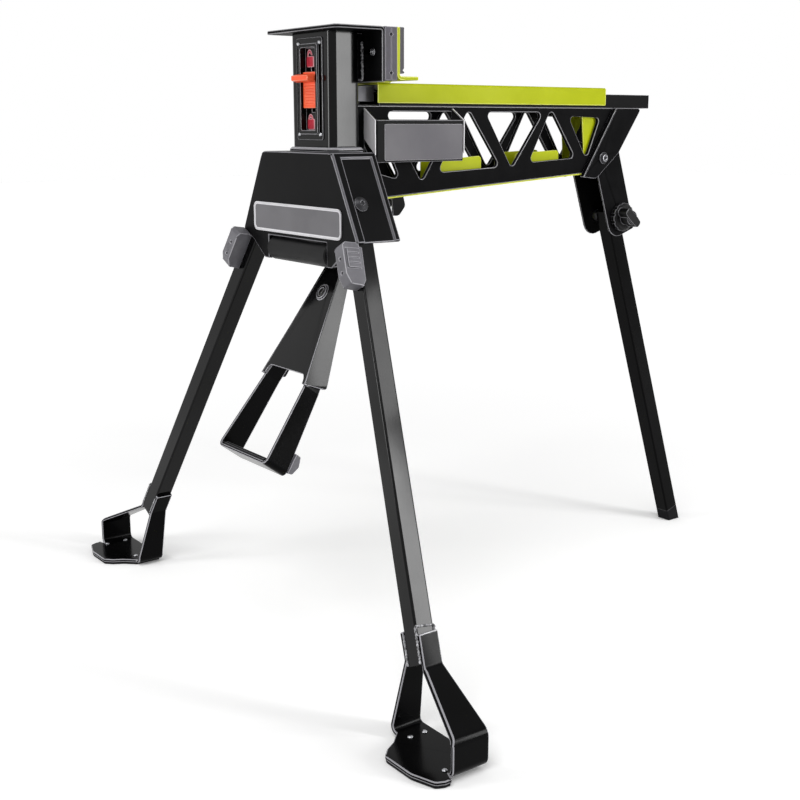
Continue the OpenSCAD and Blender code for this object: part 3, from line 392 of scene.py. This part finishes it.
    # Weld bead under powder coat: glossy black, with bright flecks mixed in by the fine mottle:
    # painted highlight, the glints of the bead's ripples.
    COATED_WELD = Finish(
        "powder_coated_weld", "#0c0c0d", "#c2c2c6", 0.12, 0.22, specular=0.5,
        grain_mm=2.4, grain_depth_mm=0.25, mottle_mm=3.5,
    )


def rounding(angle: float) -> bpy.types.GeometryNodeTree:
    """A modifier tree that shades faces smooth and keeps the edges over an angle sharp.

    Args:
        angle: the angle in degrees.

    Returns:
        The tree.
    """
    tree = bpy.data.node_groups.new("shade_by_angle", "GeometryNodeTree")
    tree.is_modifier = True
    for side in ("INPUT", "OUTPUT"):
        tree.interface.new_socket("Geometry", in_out=side, socket_type="NodeSocketGeometry")
    start = node(tree, "NodeGroupInput").outputs[0]
    bend = node(tree, "GeometryNodeInputMeshEdgeAngle").outputs[0]
    settings = {"operation": "LESS_EQUAL", "B": math.radians(angle)}
    soft = node(tree, "FunctionNodeCompare", settings, {"A": bend}).outputs[0]
    faces = node(tree, "GeometryNodeSetShadeSmooth", {"domain": "FACE"}, {0: start})
    edges = node(tree, "GeometryNodeSetShadeSmooth", {"domain": "EDGE"}, {0: faces.outputs[0]})
    tree.links.new(soft, edges.inputs["Shade Smooth"])
    node(tree, "NodeGroupOutput", {}, {0: edges.outputs[0]})
    return tree


class Body(Enum):
    """The bodies that new pieces ride on."""

    STAND = "stand"
    RIGHT_LEG = "right_leg"
    LEFT_LEG = "left_leg"


class Bench:
    """The frame on the bench: coats its nodes and takes the new pieces."""

    def __init__(self, frame: dict) -> None:
        """Keeps the frame and starts with no finish built.
        """
        self._nodes: dict[str, bpy.types.Object] = frame["nodes"]
        self._built: dict[str, bpy.types.Material] = {}
        self._bare: set[str] = set(self._nodes)
        self._rounding = rounding(SHARP_ANGLE)

    def material(self, finish: Finish) -> bpy.types.Material:
        """The material of one finish, built on the first call."""
        if finish.name not in self._built:
            self._built[finish.name] = finish.build()
        return self._built[finish.name]

    def coat(self, coat: Coat, *names: str, ease_mm: float = 0.0) -> None:
        """Coats nodes of the frame and eases their edges as folding and tumbling do.

        Args:
            coat: the finish.
            names: the nodes.
            ease_mm: the width of the eased edge, or nothing where the edges stay as they are.
        """
        for name in names:
            piece = self._nodes[name]
            material = self.material(coat.value)
            if not piece.data.materials:
                piece.data.materials.append(material)
            for face_slot in piece.material_slots:
                face_slot.material = material
            join = piece.modifiers.new("join", "WELD")
            join.merge_threshold = WELD_REACH
            if ease_mm:
                ease = piece.modifiers.new("ease", "BEVEL")
                ease.width = ease_mm * MM
                ease.segments = EASE_SEGMENTS
                ease.limit_method = "ANGLE"
                ease.angle_limit = math.radians(EASED_ANGLE)
                ease.use_clamp_overlap = False
                # The eased faces get the edge colour, a painted highlight.
                if coat.value.edge:
                    piece.data.materials.append(self.material(coat.value.with_edge_highlight()))
                    ease.material = len(piece.data.materials) - 1
            piece.modifiers.new("rounding", "NODES").node_group = self._rounding
            even = piece.modifiers.new("even", "WEIGHTED_NORMAL")
            even.mode = "FACE_AREA"
            even.weight = FULL_WEIGHT
            even.keep_sharp = True
            self._bare.discard(name)
            LOG.info("coated %s with %s", name, coat.value.name)

    def add(
        self, name: str, shape: bmesh.types.BMesh, coat: Coat, slot: str, body: Body
    ) -> None:
        """Makes a new piece from a finished shape, whose place is in its mesh.

        Args:
            name: the piece's name.
            shape: its bmesh, which is used up.
            coat: its finish.
            slot: its material slot in the record; not used.
            body: the body that it rides on.
        """
        bmesh.ops.recalc_face_normals(shape, faces=shape.faces)
        mesh = bpy.data.meshes.new(name)
        shape.to_mesh(mesh)
        shape.free()
        mesh.materials.append(self.material(coat.value))
        piece = bpy.data.objects.new(name, mesh)
        bpy.context.scene.collection.objects.link(piece)
        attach(piece, body.value)
        LOG.info("made %s, %d faces", name, len(mesh.polygons))

    def report_bare(self) -> None:
        """Reports any node that no sub-assembly coated."""
        for name in sorted(self._bare):
            LOG.warning("no finish on %s", name)


def weld_bead(start: Vector, end: Vector, width_mm: float, pitch_mm: float) -> bmesh.types.BMesh:
    """A run of weld: one round bar whose waist narrows between the puddles.

    Args:
        start: where the run begins, in metres.
        end: where it ends, in metres.
        width_mm: its width over a puddle.
        pitch_mm: the length of one puddle.

    Returns:
        The bead, closed at both ends.
    """
    shape = bmesh.new()
    run = end - start
    puddles = max(LEAST_PUDDLES, round(run.length / (pitch_mm * MM)))
    steps = puddles * PUDDLE_RINGS
    turn = run.to_track_quat("Z", "Y").to_matrix().to_4x4()
    radius = width_mm * MM / 2
    first = bmesh.ops.create_circle(shape, cap_ends=True, segments=BAR_SIDES, radius=radius)
    bmesh.ops.scale(shape, vec=(START_SCALE, START_SCALE, 1), verts=first["verts"])
    rim = list(shape.edges)
    level = START_SCALE
    for step in range(1, steps + 1):
        grown = bmesh.ops.extrude_edge_only(shape, edges=rim)["geom"]
        verts = [g for g in grown if isinstance(g, bmesh.types.BMVert)]
        rim = [g for g in grown if isinstance(g, bmesh.types.BMEdge)]
        rim = [e for e in rim if all(v in verts for v in e.verts)]
        phase = step / PUDDLE_RINGS * math.pi
        goal = WAIST + SWELL * abs(math.sin(phase)) + RIPPLE * math.sin(step * RIPPLE_RATE)
        goal = END_SCALE if step == steps else goal
        bmesh.ops.translate(shape, vec=(0, 0, run.length / steps), verts=verts)
        sway = SWAY * width_mm * MM * math.sin(step * SWAY_RATE)
        bmesh.ops.scale(shape, vec=(goal / level, goal / level, 1), verts=verts)
        aside = sway if step % PUDDLE_RINGS == 1 else 0
        bmesh.ops.translate(shape, vec=(aside, 0, 0), verts=verts)
        level = goal
    bmesh.ops.holes_fill(shape, edges=rim, sides=BAR_SIDES)
    bmesh.ops.transform(shape, matrix=Matrix.Translation(start) @ turn, verts=shape.verts)
    for face in shape.faces:
        face.smooth = len(face.verts) == 4
    return shape


def rounded_tile(
    width_mm: float, height_mm: float, radius_mm: float, depth_mm: float
) -> bmesh.types.BMesh:
    """A flat tile with round corners, facing up, its back on z = 0.

    Args:
        width_mm: its size along x.
        height_mm: its size along y.
        radius_mm: its corner radius.
        depth_mm: its thickness.

    Returns:
        The tile.
    """
    shape = bmesh.new()
    bmesh.ops.create_grid(shape, x_segments=1, y_segments=1, size=0.5)
    bmesh.ops.scale(shape, vec=(width_mm * MM, height_mm * MM, 1), verts=shape.verts)
    bmesh.ops.bevel(
        shape,
        geom=list(shape.verts),
        offset=radius_mm * MM,
        segments=CORNER_SEGMENTS,
        profile=0.5,
        affect="VERTICES",
        material=-1,
    )
    grown = bmesh.ops.extrude_face_region(shape, geom=list(shape.faces))
    top = [g for g in grown["geom"] if isinstance(g, bmesh.types.BMVert)]
    bmesh.ops.translate(shape, vec=(0, 0, depth_mm * MM), verts=top)
    return shape


def half_ring(radius_mm: float, thick_mm: float) -> bmesh.types.BMesh:
    """A round bar bent half round z, from the +x side.

    Args:
        radius_mm: the arc's radius to the middle of the bar.
        thick_mm: the bar's thickness.

    Returns:
        The bar.
    """
    shape = bmesh.new()
    radius = thick_mm * MM / 2
    bmesh.ops.create_circle(shape, cap_ends=True, segments=BAR_SIDES, radius=radius)
    bmesh.ops.rotate(shape, matrix=Matrix.Rotation(math.pi / 2, 3, "X"), verts=shape.verts)
    bmesh.ops.translate(shape, vec=(radius_mm * MM, 0, 0), verts=shape.verts)
    bmesh.ops.spin(
        shape,
        geom=list(shape.verts) + list(shape.edges) + list(shape.faces),
        axis=(0, 0, 1),
        cent=(0, 0, 0),
        angle=math.pi,
        steps=HALF_RING_STEPS,
        use_merge=False,
    )
    return shape


def turned(shape: bmesh.types.BMesh, matrix: Matrix) -> bmesh.types.BMesh:
    """Moves a shape to its place and hands it back."""
    bmesh.ops.transform(shape, matrix=matrix, verts=shape.verts)
    return shape


def facing_front(point: Vector) -> Matrix:
    """Stands a flat shape at a point, with its face towards the user."""
    return Matrix.Translation(point) @ Matrix.Rotation(math.pi / 2, 4, "X")


def joined(*shapes: bmesh.types.BMesh) -> bmesh.types.BMesh:
    """Puts several shapes into one.

    Args:
        shapes: the shapes, which are used up.

    Returns:
        One bmesh with all of them.
    """
    whole = bmesh.new()
    for shape in shapes:
        spare = bpy.data.meshes.new("spare")
        shape.to_mesh(spare)
        shape.free()
        whole.from_mesh(spare)
        bpy.data.meshes.remove(spare)
    return whole


@dataclass
class JawAndHeadPlate:
    """The head plate with its fixed jaw, and the moving jaw with its pads."""

    weld_x: float = 44.0
    weld_y: float = 35.0
    weld_low: float = 801.0
    weld_high: float = 852.0
    lean: float = 1.0
    foot_run: float = 18.0

    def dress(self, bench: Bench) -> None:
        """Coats the plate, the jaws, the pads and their screws."""
        bench.coat(Coat.HANDLED_BLACK, "top_plate", ease_mm=1.2)
        bench.coat(Coat.HANDLED_BLACK, "jaw_gussets", ease_mm=0.8)
        bench.coat(Coat.URETHANE, "fixed_pad", "moving_pad", ease_mm=0.9)
        bench.coat(Coat.DARK_URETHANE, "rear_pad", ease_mm=0.9)
        bench.coat(Coat.LIME, "moving_jaw", ease_mm=1.3)
        bench.coat(Coat.BLACK_OXIDE, "fixed_pad_screws", "moving_jaw_screws", ease_mm=0.4)
        self.welds(bench)

    def welds(self, bench: Bench) -> None:
        """Lays the welds between the tower's rear corners and the fixed jaw."""
        runs = []
        for side in (-1, 1):
            low = place(side * self.weld_x, self.weld_y, self.weld_low)
            high = place(side * (self.weld_x - self.lean), self.weld_y, self.weld_high)
            runs.append(weld_bead(low, high, width_mm=5.0, pitch_mm=5.2))
            x = side * (self.weld_x - self.foot_run)
            across = place(x, self.weld_y - self.lean, self.weld_low)
            runs.append(weld_bead(across, low, width_mm=4.2, pitch_mm=4.6))
        bench.add("fixed_jaw_welds", joined(*runs), Coat.COATED_WELD, "black_gloss", Body.STAND)


@dataclass
class TowerAndCollar:
    """The square tube between the head plate and the bracket, with its collar."""

    half_w: float = 52.0
    front: float = -23.3
    rear: float = 26.7
    foot: float = 709.0
    inset: float = 11.0
    stand_off: float = 0.6

    def dress(self, bench: Bench) -> None:
        """Coats the tube and the collar and lays the weld round its foot."""
        bench.coat(Coat.GLOSS_BLACK, "tower")
        bench.coat(Coat.SHADED_GLOSS_BLACK, "collar", ease_mm=1.2)
        ends = []
        for side in (-1, 1):
            x = side * (self.half_w + self.stand_off)
            near = place(x, self.front + self.inset, self.foot)
            ends.append((near, place(x, self.rear - self.inset, self.foot)))
        for y in (self.front - self.stand_off, self.rear + self.stand_off):
            left = place(-self.half_w + self.inset, y, self.foot)
            ends.append((left, place(self.half_w - self.inset, y, self.foot)))
        runs = [weld_bead(start, end, width_mm=3.0, pitch_mm=3.6) for start, end in ends]
        bench.add("collar_welds", joined(*runs), Coat.GLOSS_BLACK, "black_gloss", Body.STAND)


@dataclass
class LockSwitch:
    """The orange slider in its tray, with a padlock sign above and below it."""

    floor_y: float = -18.1
    centre_z: float = 788.0
    sign_x: float = -8.0
    sign_drop: float = 42.5
    body_w: float = 16.0
    body_h: float = 13.0
    body_drop: float = 5.0
    body_r: float = 1.6
    shackle_r: float = 4.9
    shackle_stretch: float = 1.35
    open_lift: float = 2.6
    open_tilt: float = 12.0
    depth: float = 0.2
    red_bar: float = 2.0
    red_flat: float = 0.2
    pink_bar: float = 4.0
    pink_flat: float = 0.08
    pink_highlight_shift: float = 1.6
    pink_width: float = 2.0
    pink_height: float = 1.6
    pink_r: float = 2.2
    pink_share: float = 0.6

    def dress(self, bench: Bench) -> None:
        """Coats the tray, the rivets and the slider and prints the signs."""
        bench.coat(Coat.GLOSS_BLACK, "switch_plate", ease_mm=0.5)
        bench.coat(Coat.ZINC, "switch_rivets", ease_mm=0.2)
        bench.coat(Coat.ORANGE_ABS, "lock_switch", ease_mm=0.7)
        for name, rise, lift, tilt in (
            ("lock_sign_open", self.sign_drop, self.open_lift, self.open_tilt),
            ("lock_sign_shut", -self.sign_drop, 0.0, 0.0),
        ):
            self.sign(bench, name, self.centre_z + rise, lift, tilt)

    def sign(self, bench: Bench, name: str, z: float, lift: float, tilt: float) -> None:
        """Prints one padlock: a tile for its body and a bent bar for its shackle.

        Args:
            bench: takes the piece.
            name: the piece's name.
            z: the height of the sign's middle.
            lift: how far the shackle stands clear of the body.
            tilt: how far the shackle leans when it is open, in degrees.
        """
        face = facing_front(place(self.sign_x, self.floor_y, z))
        low = Matrix.Translation((0, -self.body_drop * MM, 0))
        body = turned(rounded_tile(self.body_w, self.body_h, self.body_r, self.depth), low)
        # The pink outline lies a little to the right of the red one: the band this leaves on the
        # right is a painted highlight.
        aside = Matrix.Translation((self.pink_highlight_shift * MM, 0, 0)) @ low
        width, height = self.body_w + self.pink_width, self.body_h + self.pink_height
        rim = rounded_tile(width, height, self.pink_r, self.depth * self.pink_share)
        lean = Matrix.Rotation(math.radians(tilt), 4, "Z")
        lean = Matrix.Translation((0, lift * MM, 0)) @ lean
        flat = Matrix.Diagonal((1, self.shackle_stretch, self.red_flat, 1))
        shackle = turned(half_ring(self.shackle_r, self.red_bar), lean @ flat)
        flat = Matrix.Diagonal((1, self.shackle_stretch, self.pink_flat, 1))
        halo = turned(half_ring(self.shackle_r, self.pink_bar), lean @ flat)
        red = turned(joined(body, shackle), face)
        pink = turned(joined(turned(rim, aside), halo), face)
        bench.add(name, red, Coat.RED_INK, "orange", Body.STAND)
        bench.add(f"{name}_outline", pink, Coat.PINK_INK, "orange", Body.STAND)


@dataclass
class HeadBracket:
    """The folded bracket that holds the front legs, with its name plate and roller."""

    plate_z: float = 608.5
    plate_y: float = -51.7
    field_w: float = 223.0
    field_h: float = 34.0
    field_r: float = 5.5
    field_t: float = 0.12

    def dress(self, bench: Bench) -> None:
        """Coats the bracket, its plates, bolts and roller and lays the bare field."""
        bench.coat(Coat.SATIN_BLACK, "head_front", ease_mm=1.4)
        bench.coat(Coat.SATIN_BLACK, "head_top", "pedal_bracket", ease_mm=0.8)
        bench.coat(Coat.SATIN_BLACK, "head_side_left", "head_side_right", ease_mm=1.4)
        bench.coat(Coat.BRIGHT_RIM, "name_plate", ease_mm=0.3)
        # A wider easing would cut into the legs' bores.
        bench.coat(Coat.BLACK_OXIDE, "leg_bolt_left", "leg_bolt_right", "pedal_bolt", ease_mm=0.2)
        bench.coat(Coat.BLACK_NYLON, "roller")
        bench.coat(Coat.ZINC, "roller_axle", ease_mm=0.4)
        where = facing_front(place(0, self.plate_y, self.plate_z))
        field = rounded_tile(self.field_w, self.field_h, self.field_r, self.field_t)
        field = turned(field, where)
        bench.add("name_plate_field", field, Coat.GREY_FIELD, "plate", Body.STAND)


class TrussBeam:
    """The two pressed side plates, the channel under them and the fixed top rail."""

    def dress(self, bench: Bench) -> None:
        """Coats the beam's sheet parts and fasteners."""
        bench.coat(Coat.HANDLED_BLACK, "side_plate_left", "side_plate_right", ease_mm=1.0)
        sheet = ("rear_gusset_left", "rear_gusset_right", "rear_channel")
        bench.coat(Coat.HANDLED_BLACK, *sheet, ease_mm=0.8)
        bench.coat(Coat.SATIN_BLACK, "top_rail", "leg_catch", "beam_spacers", ease_mm=0.6)
        bench.coat(Coat.LIME, "inner_channel", ease_mm=0.6)
        bench.coat(Coat.PHOSPHATE, "guide_block", ease_mm=0.8)
        bench.coat(Coat.BLACK_OXIDE, "rear_bolts", ease_mm=0.4)


class LabelBox:
    """The box on the near side plate, with its plain panel."""

    def dress(self, bench: Bench) -> None:
        """Coats the box and its panel."""
        bench.coat(Coat.SATIN_BLACK, "label_box", ease_mm=0.6)
        bench.coat(Coat.PALE_PLASTIC, "label_box_ends", ease_mm=0.4)
        bench.coat(Coat.BARE_PLATE, "label_panel", ease_mm=0.2)


class SlidingRail:
    """The lime channel that carries the moving jaw."""

    def dress(self, bench: Bench) -> None:
        """Coats the rail and its glides."""
        bench.coat(Coat.LIME, "slide_rail", ease_mm=1.2)
        bench.coat(Coat.PALE_PLASTIC, "rail_glides", ease_mm=0.5)


@dataclass
class FrontLegs:
    """The two front legs with their latches and stirrup feet."""

    pivot: Point = (107.55, -24.5, 627.51)
    splay: float = 27.12
    lean: float = 8.56
    half: float = 14.0
    end: float = -608.5
    inner_top: float = -571.8
    outer_top: float = -562.8
    stand_off: float = 0.2

    def dress(self, bench: Bench) -> None:
        """Coats both legs, latches and feet and lays the feet's welds."""
        for side in ("left", "right"):
            bench.coat(Coat.GLOSS_BLACK, f"front_leg_{side}")
            bench.coat(Coat.SHADED_GLOSS_BLACK, f"foot_stirrup_{side}", ease_mm=1.3)
            bench.coat(Coat.RUBBER, f"foot_sole_{side}", ease_mm=0.8)
            bench.coat(Coat.ZINC, f"foot_rivets_{side}", ease_mm=0.3)
            bench.coat(Coat.GREY_NYLON, f"leg_latch_{side}", ease_mm=0.9)
            bench.coat(Coat.GREY_NYLON, f"latch_button_{side}", ease_mm=0.5)
        self.welds(bench, "right", Body.RIGHT_LEG, 1)
        self.welds(bench, "left", Body.LEFT_LEG, -1)

    def on_leg(self, x: float, y: float, z: float, side: int) -> Vector:
        """A point given in a leg's own axes.

        Args:
            x: millimetres outwards from the tube's middle.
            y: millimetres behind it.
            z: millimetres above the pivot along the tube.
            side: 1 for the right leg, -1 for the left.

        Returns:
            The point in the frame, in metres.
        """
        local = Vector((x, y, z))
        local.rotate(Matrix.Rotation(math.radians(-self.lean), 3, "X"))
        local.rotate(Matrix.Rotation(math.radians(-self.splay), 3, "Y"))
        point = Vector(self.pivot) + local
        return place(side * point.x, point.y, point.z)

    def welds(self, bench: Bench, name: str, body: Body, side: int) -> None:
        """Lays the welds that hold a foot's straps to the tube.

        Args:
            bench: takes the piece.
            name: which leg, for the piece's name.
            body: the leg's body.
            side: 1 for the right leg, -1 for the left.
        """
        ends = []
        edge = self.half + self.stand_off
        for x, top in ((-edge, self.inner_top), (edge, self.outer_top)):
            for y in (-edge, edge):
                low = self.on_leg(x, y, self.end, side)
                ends.append((low, self.on_leg(x, y, top, side)))
            near = self.on_leg(x, -edge, top, side)
            ends.append((near, self.on_leg(x, edge, top, side)))
        runs = [weld_bead(start, end, width_mm=3.6, pitch_mm=4.0) for start, end in ends]
        bench.add(f"foot_welds_{name}", joined(*runs), Coat.COATED_WELD, "black_gloss", body)


class RearLeg:
    """The rear leg with its cap, pivot bolt and clamp knob."""

    def dress(self, bench: Bench) -> None:
        """Coats the leg and its clamp."""
        bench.coat(Coat.SHADED_GLOSS_BLACK, "rear_leg")
        bench.coat(Coat.RUBBER, "rear_leg_cap", ease_mm=0.8)
        bench.coat(Coat.ZINC, "rear_pivot_bolt", ease_mm=0.4)
        bench.coat(Coat.BLACK_NYLON, "clamp_knob", ease_mm=0.8)


class FootPedal:
    """The pedal arm, its stirrup and the ribbed tread."""

    def dress(self, bench: Bench) -> None:
        """Coats the pedal's parts."""
        bench.coat(Coat.GLOSS_BLACK, "pedal_arm", ease_mm=1.0)
        bench.coat(Coat.SHADED_GLOSS_BLACK, "pedal_stirrup", ease_mm=1.2)
        bench.coat(Coat.RUBBER, "pedal_tread", ease_mm=0.5)
        bench.coat(Coat.GREY_NYLON, "pedal_bumper", ease_mm=0.8)


@dataclass(frozen=True)
class SoftBox:
    """One soft box: its place, the point that it faces and its size in metres, and its watts."""

    name: str
    where: Point
    target: Point
    size: tuple[float, float]
    watts: float


SOFT_BOXES = (
    # A tall one, whose image lies along the right faces of the tower and the near leg.
    SoftBox("side_box", (2.24, 1.1, 1.1), (0.08, -0.32, 0.7), (0.34, 1.2), 27),
    # A dimmer one over it, for the upper half of the near leg.
    SoftBox("upper_box", (1.85, 1.13, 1.85), (0.12, -0.34, 0.45), (0.34, 0.42), 4.6),
    # A small one further back, whose image lies along the pedal arm's right flange.
    SoftBox("rear_box", (1.84, 1.53, 0.76), (0.04, -0.35, 0.48), (0.34, 0.55), 8.5),
    # A wider one to the left in front, whose image lies along the rounded front corners.
    SoftBox("front_box", (-1.05, -2.68, 0.9), (0.04, -0.32, 0.75), (0.8, 0.6), 24),
)


@dataclass
class Studio:
    """Floor, lights, background and the camera.

    The camera's place is in millimetres, as place() takes them, and all the others in metres.
    """

    camera_place: Point = (1463.0, -957.7, 742.7)
    azimuth: float = 53.3
    pitch: float = 13.0
    lens: float = 54.07
    film_width: float = 36.0
    farthest: float = 50.0
    sky: float = 0.25
    sun: float = 1.35
    sun_angle: float = 40.0
    sun_place: Point = (0.8, -1.4, 2.9)
    sun_target: Point = (0, 0, 0.3)
    floor_half: float = 14.0
    floor_drop: float = 0.0005
    # The lift's levels, lower near the stand, and the reach of its occlusion round the feet:
    # painted shadow.
    glow_from: float = 0.9
    glow_to: float = 2.4
    glow_near: float = 0.24
    glow_far: float = 0.44
    painted_shadow_reach: float = 0.4
    painted_shadow_samples: int = 8

    def camera(self) -> None:
        """Sets up the camera at the photograph's angle."""
        data = bpy.data.cameras.new("view")
        data.lens = self.lens
        data.sensor_width = self.film_width
        data.clip_end = self.farthest
        obj = bpy.data.objects.new("view", data)
        obj.location = place(*self.camera_place)
        obj.rotation_euler = (math.radians(90 - self.pitch), 0, math.radians(self.azimuth))
        bpy.context.scene.collection.objects.link(obj)
        bpy.context.scene.camera = obj

    def soft_box(self, box: SoftBox) -> None:
        """Adds one soft box."""
        data = bpy.data.lights.new(box.name, "AREA")
        data.shape = "RECTANGLE"
        data.size, data.size_y = box.size
        data.energy = box.watts
        self.hang(box.name, data, box.where, box.target)

    def hang(self, name: str, data: bpy.types.Light, where: Point, target: Point) -> None:
        """Puts a lamp in its place, facing its target."""
        obj = bpy.data.objects.new(name, data)
        obj.location = where
        obj.rotation_euler = (Vector(target) - Vector(where)).to_track_quat("-Z", "Y").to_euler()
        bpy.context.scene.collection.objects.link(obj)

    def seen(self, tree: bpy.types.NodeTree) -> bpy.types.NodeSocket:
        """One for the rays that show the background: camera, glossy and transmission rays."""
        rays = node(tree, "ShaderNodeLightPath")
        links = {0: rays.outputs["Is Camera Ray"], 1: rays.outputs["Is Glossy Ray"]}
        first = node(tree, "ShaderNodeMath", {"operation": "MAXIMUM"}, links)
        links = {0: first.outputs[0], 1: rays.outputs["Is Transmission Ray"]}
        return node(tree, "ShaderNodeMath", {"operation": "MAXIMUM"}, links).outputs[0]

    def lift(self, tree: bpy.types.NodeTree) -> bpy.types.NodeSocket:
        """How strongly the paper is lifted, for the rays that show the background.
        It is lower near the stand and faded by ambient occlusion round the feet: painted shadow.
        """
        here = node(tree, "ShaderNodeTexCoord").outputs["Object"]
        away = node(tree, "ShaderNodeVectorMath", {"operation": "LENGTH"}, {0: here})
        reach = node(
            tree,
            "ShaderNodeMapRange",
            {
                "From Min": self.glow_from,
                "From Max": self.glow_to,
                "To Min": self.glow_near,
                "To Max": self.glow_far,
            },
            {"Value": away.outputs["Value"]},
        )
        # The ambient occlusion fades the lift round the feet: a painted contact shadow.
        settings = {"samples": self.painted_shadow_samples, "Distance": self.painted_shadow_reach}
        shade = node(tree, "ShaderNodeAmbientOcclusion", settings)
        links = {0: reach.outputs["Result"], 1: shade.outputs["AO"]}
        level = node(tree, "ShaderNodeMath", {"operation": "MULTIPLY"}, links)
        links = {0: self.seen(tree), 1: level.outputs[0]}
        return node(tree, "ShaderNodeMath", {"operation": "MULTIPLY"}, links).outputs[0]

    def floor(self) -> None:
        """Lays a white paper floor, lifted to white where nothing shades it.

        The lift grows away from the stand, so that the paper meets the background without a line;
        its lower level near the stand is painted shade. It fades under the feet with ambient
        occlusion: a painted contact shadow.
        """
        mesh = bpy.data.meshes.new("paper_floor")
        shape = bmesh.new()
        bmesh.ops.create_grid(shape, x_segments=1, y_segments=1, size=self.floor_half)
        bmesh.ops.translate(shape, verts=shape.verts, vec=(0, 0, -self.floor_drop))
        shape.to_mesh(mesh)
        shape.free()
        obj = bpy.data.objects.new("paper_floor", mesh)
        bpy.context.scene.collection.objects.link(obj)
        material = bpy.data.materials.new("white_paper")
        material.use_nodes = True
        tree = material.node_tree
        tree.nodes.clear()
        # Matt white paper; its grey falls where the stand shades it from the lamps, and where the
        # lift is lowered or faded, which is painted shadow.
        paper = node(tree, "ShaderNodeBsdfDiffuse", {"Color": linear("#f6f6f6")})
        strength = self.lift(tree)
        glow = node(
            tree, "ShaderNodeEmission", {"Color": linear("#ffffff")}, {"Strength": strength}
        )
        both = node(tree, "ShaderNodeAddShader", {}, {0: paper.outputs[0], 1: glow.outputs[0]})
        node(tree, "ShaderNodeOutputMaterial", {}, {"Surface": both.outputs[0]})
        mesh.materials.append(material)

    def world(self) -> None:
        """A plain world: white where it is seen, softer as a lamp."""
        world = bpy.data.worlds.new("studio")
        bpy.context.scene.world = world
        world.use_nodes = True
        tree = world.node_tree
        tree.nodes.clear()
        settings = {"To Min": self.sky, "To Max": 1.0}
        level = node(tree, "ShaderNodeMapRange", settings, {"Value": self.seen(tree)})
        links = {"Strength": level.outputs["Result"]}
        back = node(tree, "ShaderNodeBackground", {"Color": linear("#ffffff")}, links)
        node(tree, "ShaderNodeOutputWorld", {}, {"Surface": back.outputs["Background"]})

    def build(self) -> None:
        """Builds the whole studio."""
        self.camera()
        self.floor()
        self.world()
        sun = bpy.data.lights.new("sun", "SUN")
        sun.energy = self.sun
        sun.angle = math.radians(self.sun_angle)
        self.hang("sun", sun, self.sun_place, self.sun_target)
        for box in SOFT_BOXES:
            self.soft_box(box)
        bpy.context.scene.view_settings.view_transform = "Standard"


def main() -> None:
    """Loads the frame, dresses each sub-assembly and builds the studio."""
    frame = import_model()
    bench = Bench(frame)
    for part in (
        JawAndHeadPlate(),
        TowerAndCollar(),
        LockSwitch(),
        HeadBracket(),
        TrussBeam(),
        LabelBox(),
        SlidingRail(),
        FrontLegs(),
        RearLeg(),
        FootPedal(),
    ):
        LOG.info("dressing %s", type(part).__name__)
        part.dress(bench)
    bench.report_bare()
    Studio().build()


if __name__ == "__main__":
    logging.basicConfig(level=logging.INFO, format="%(message)s")
    main()
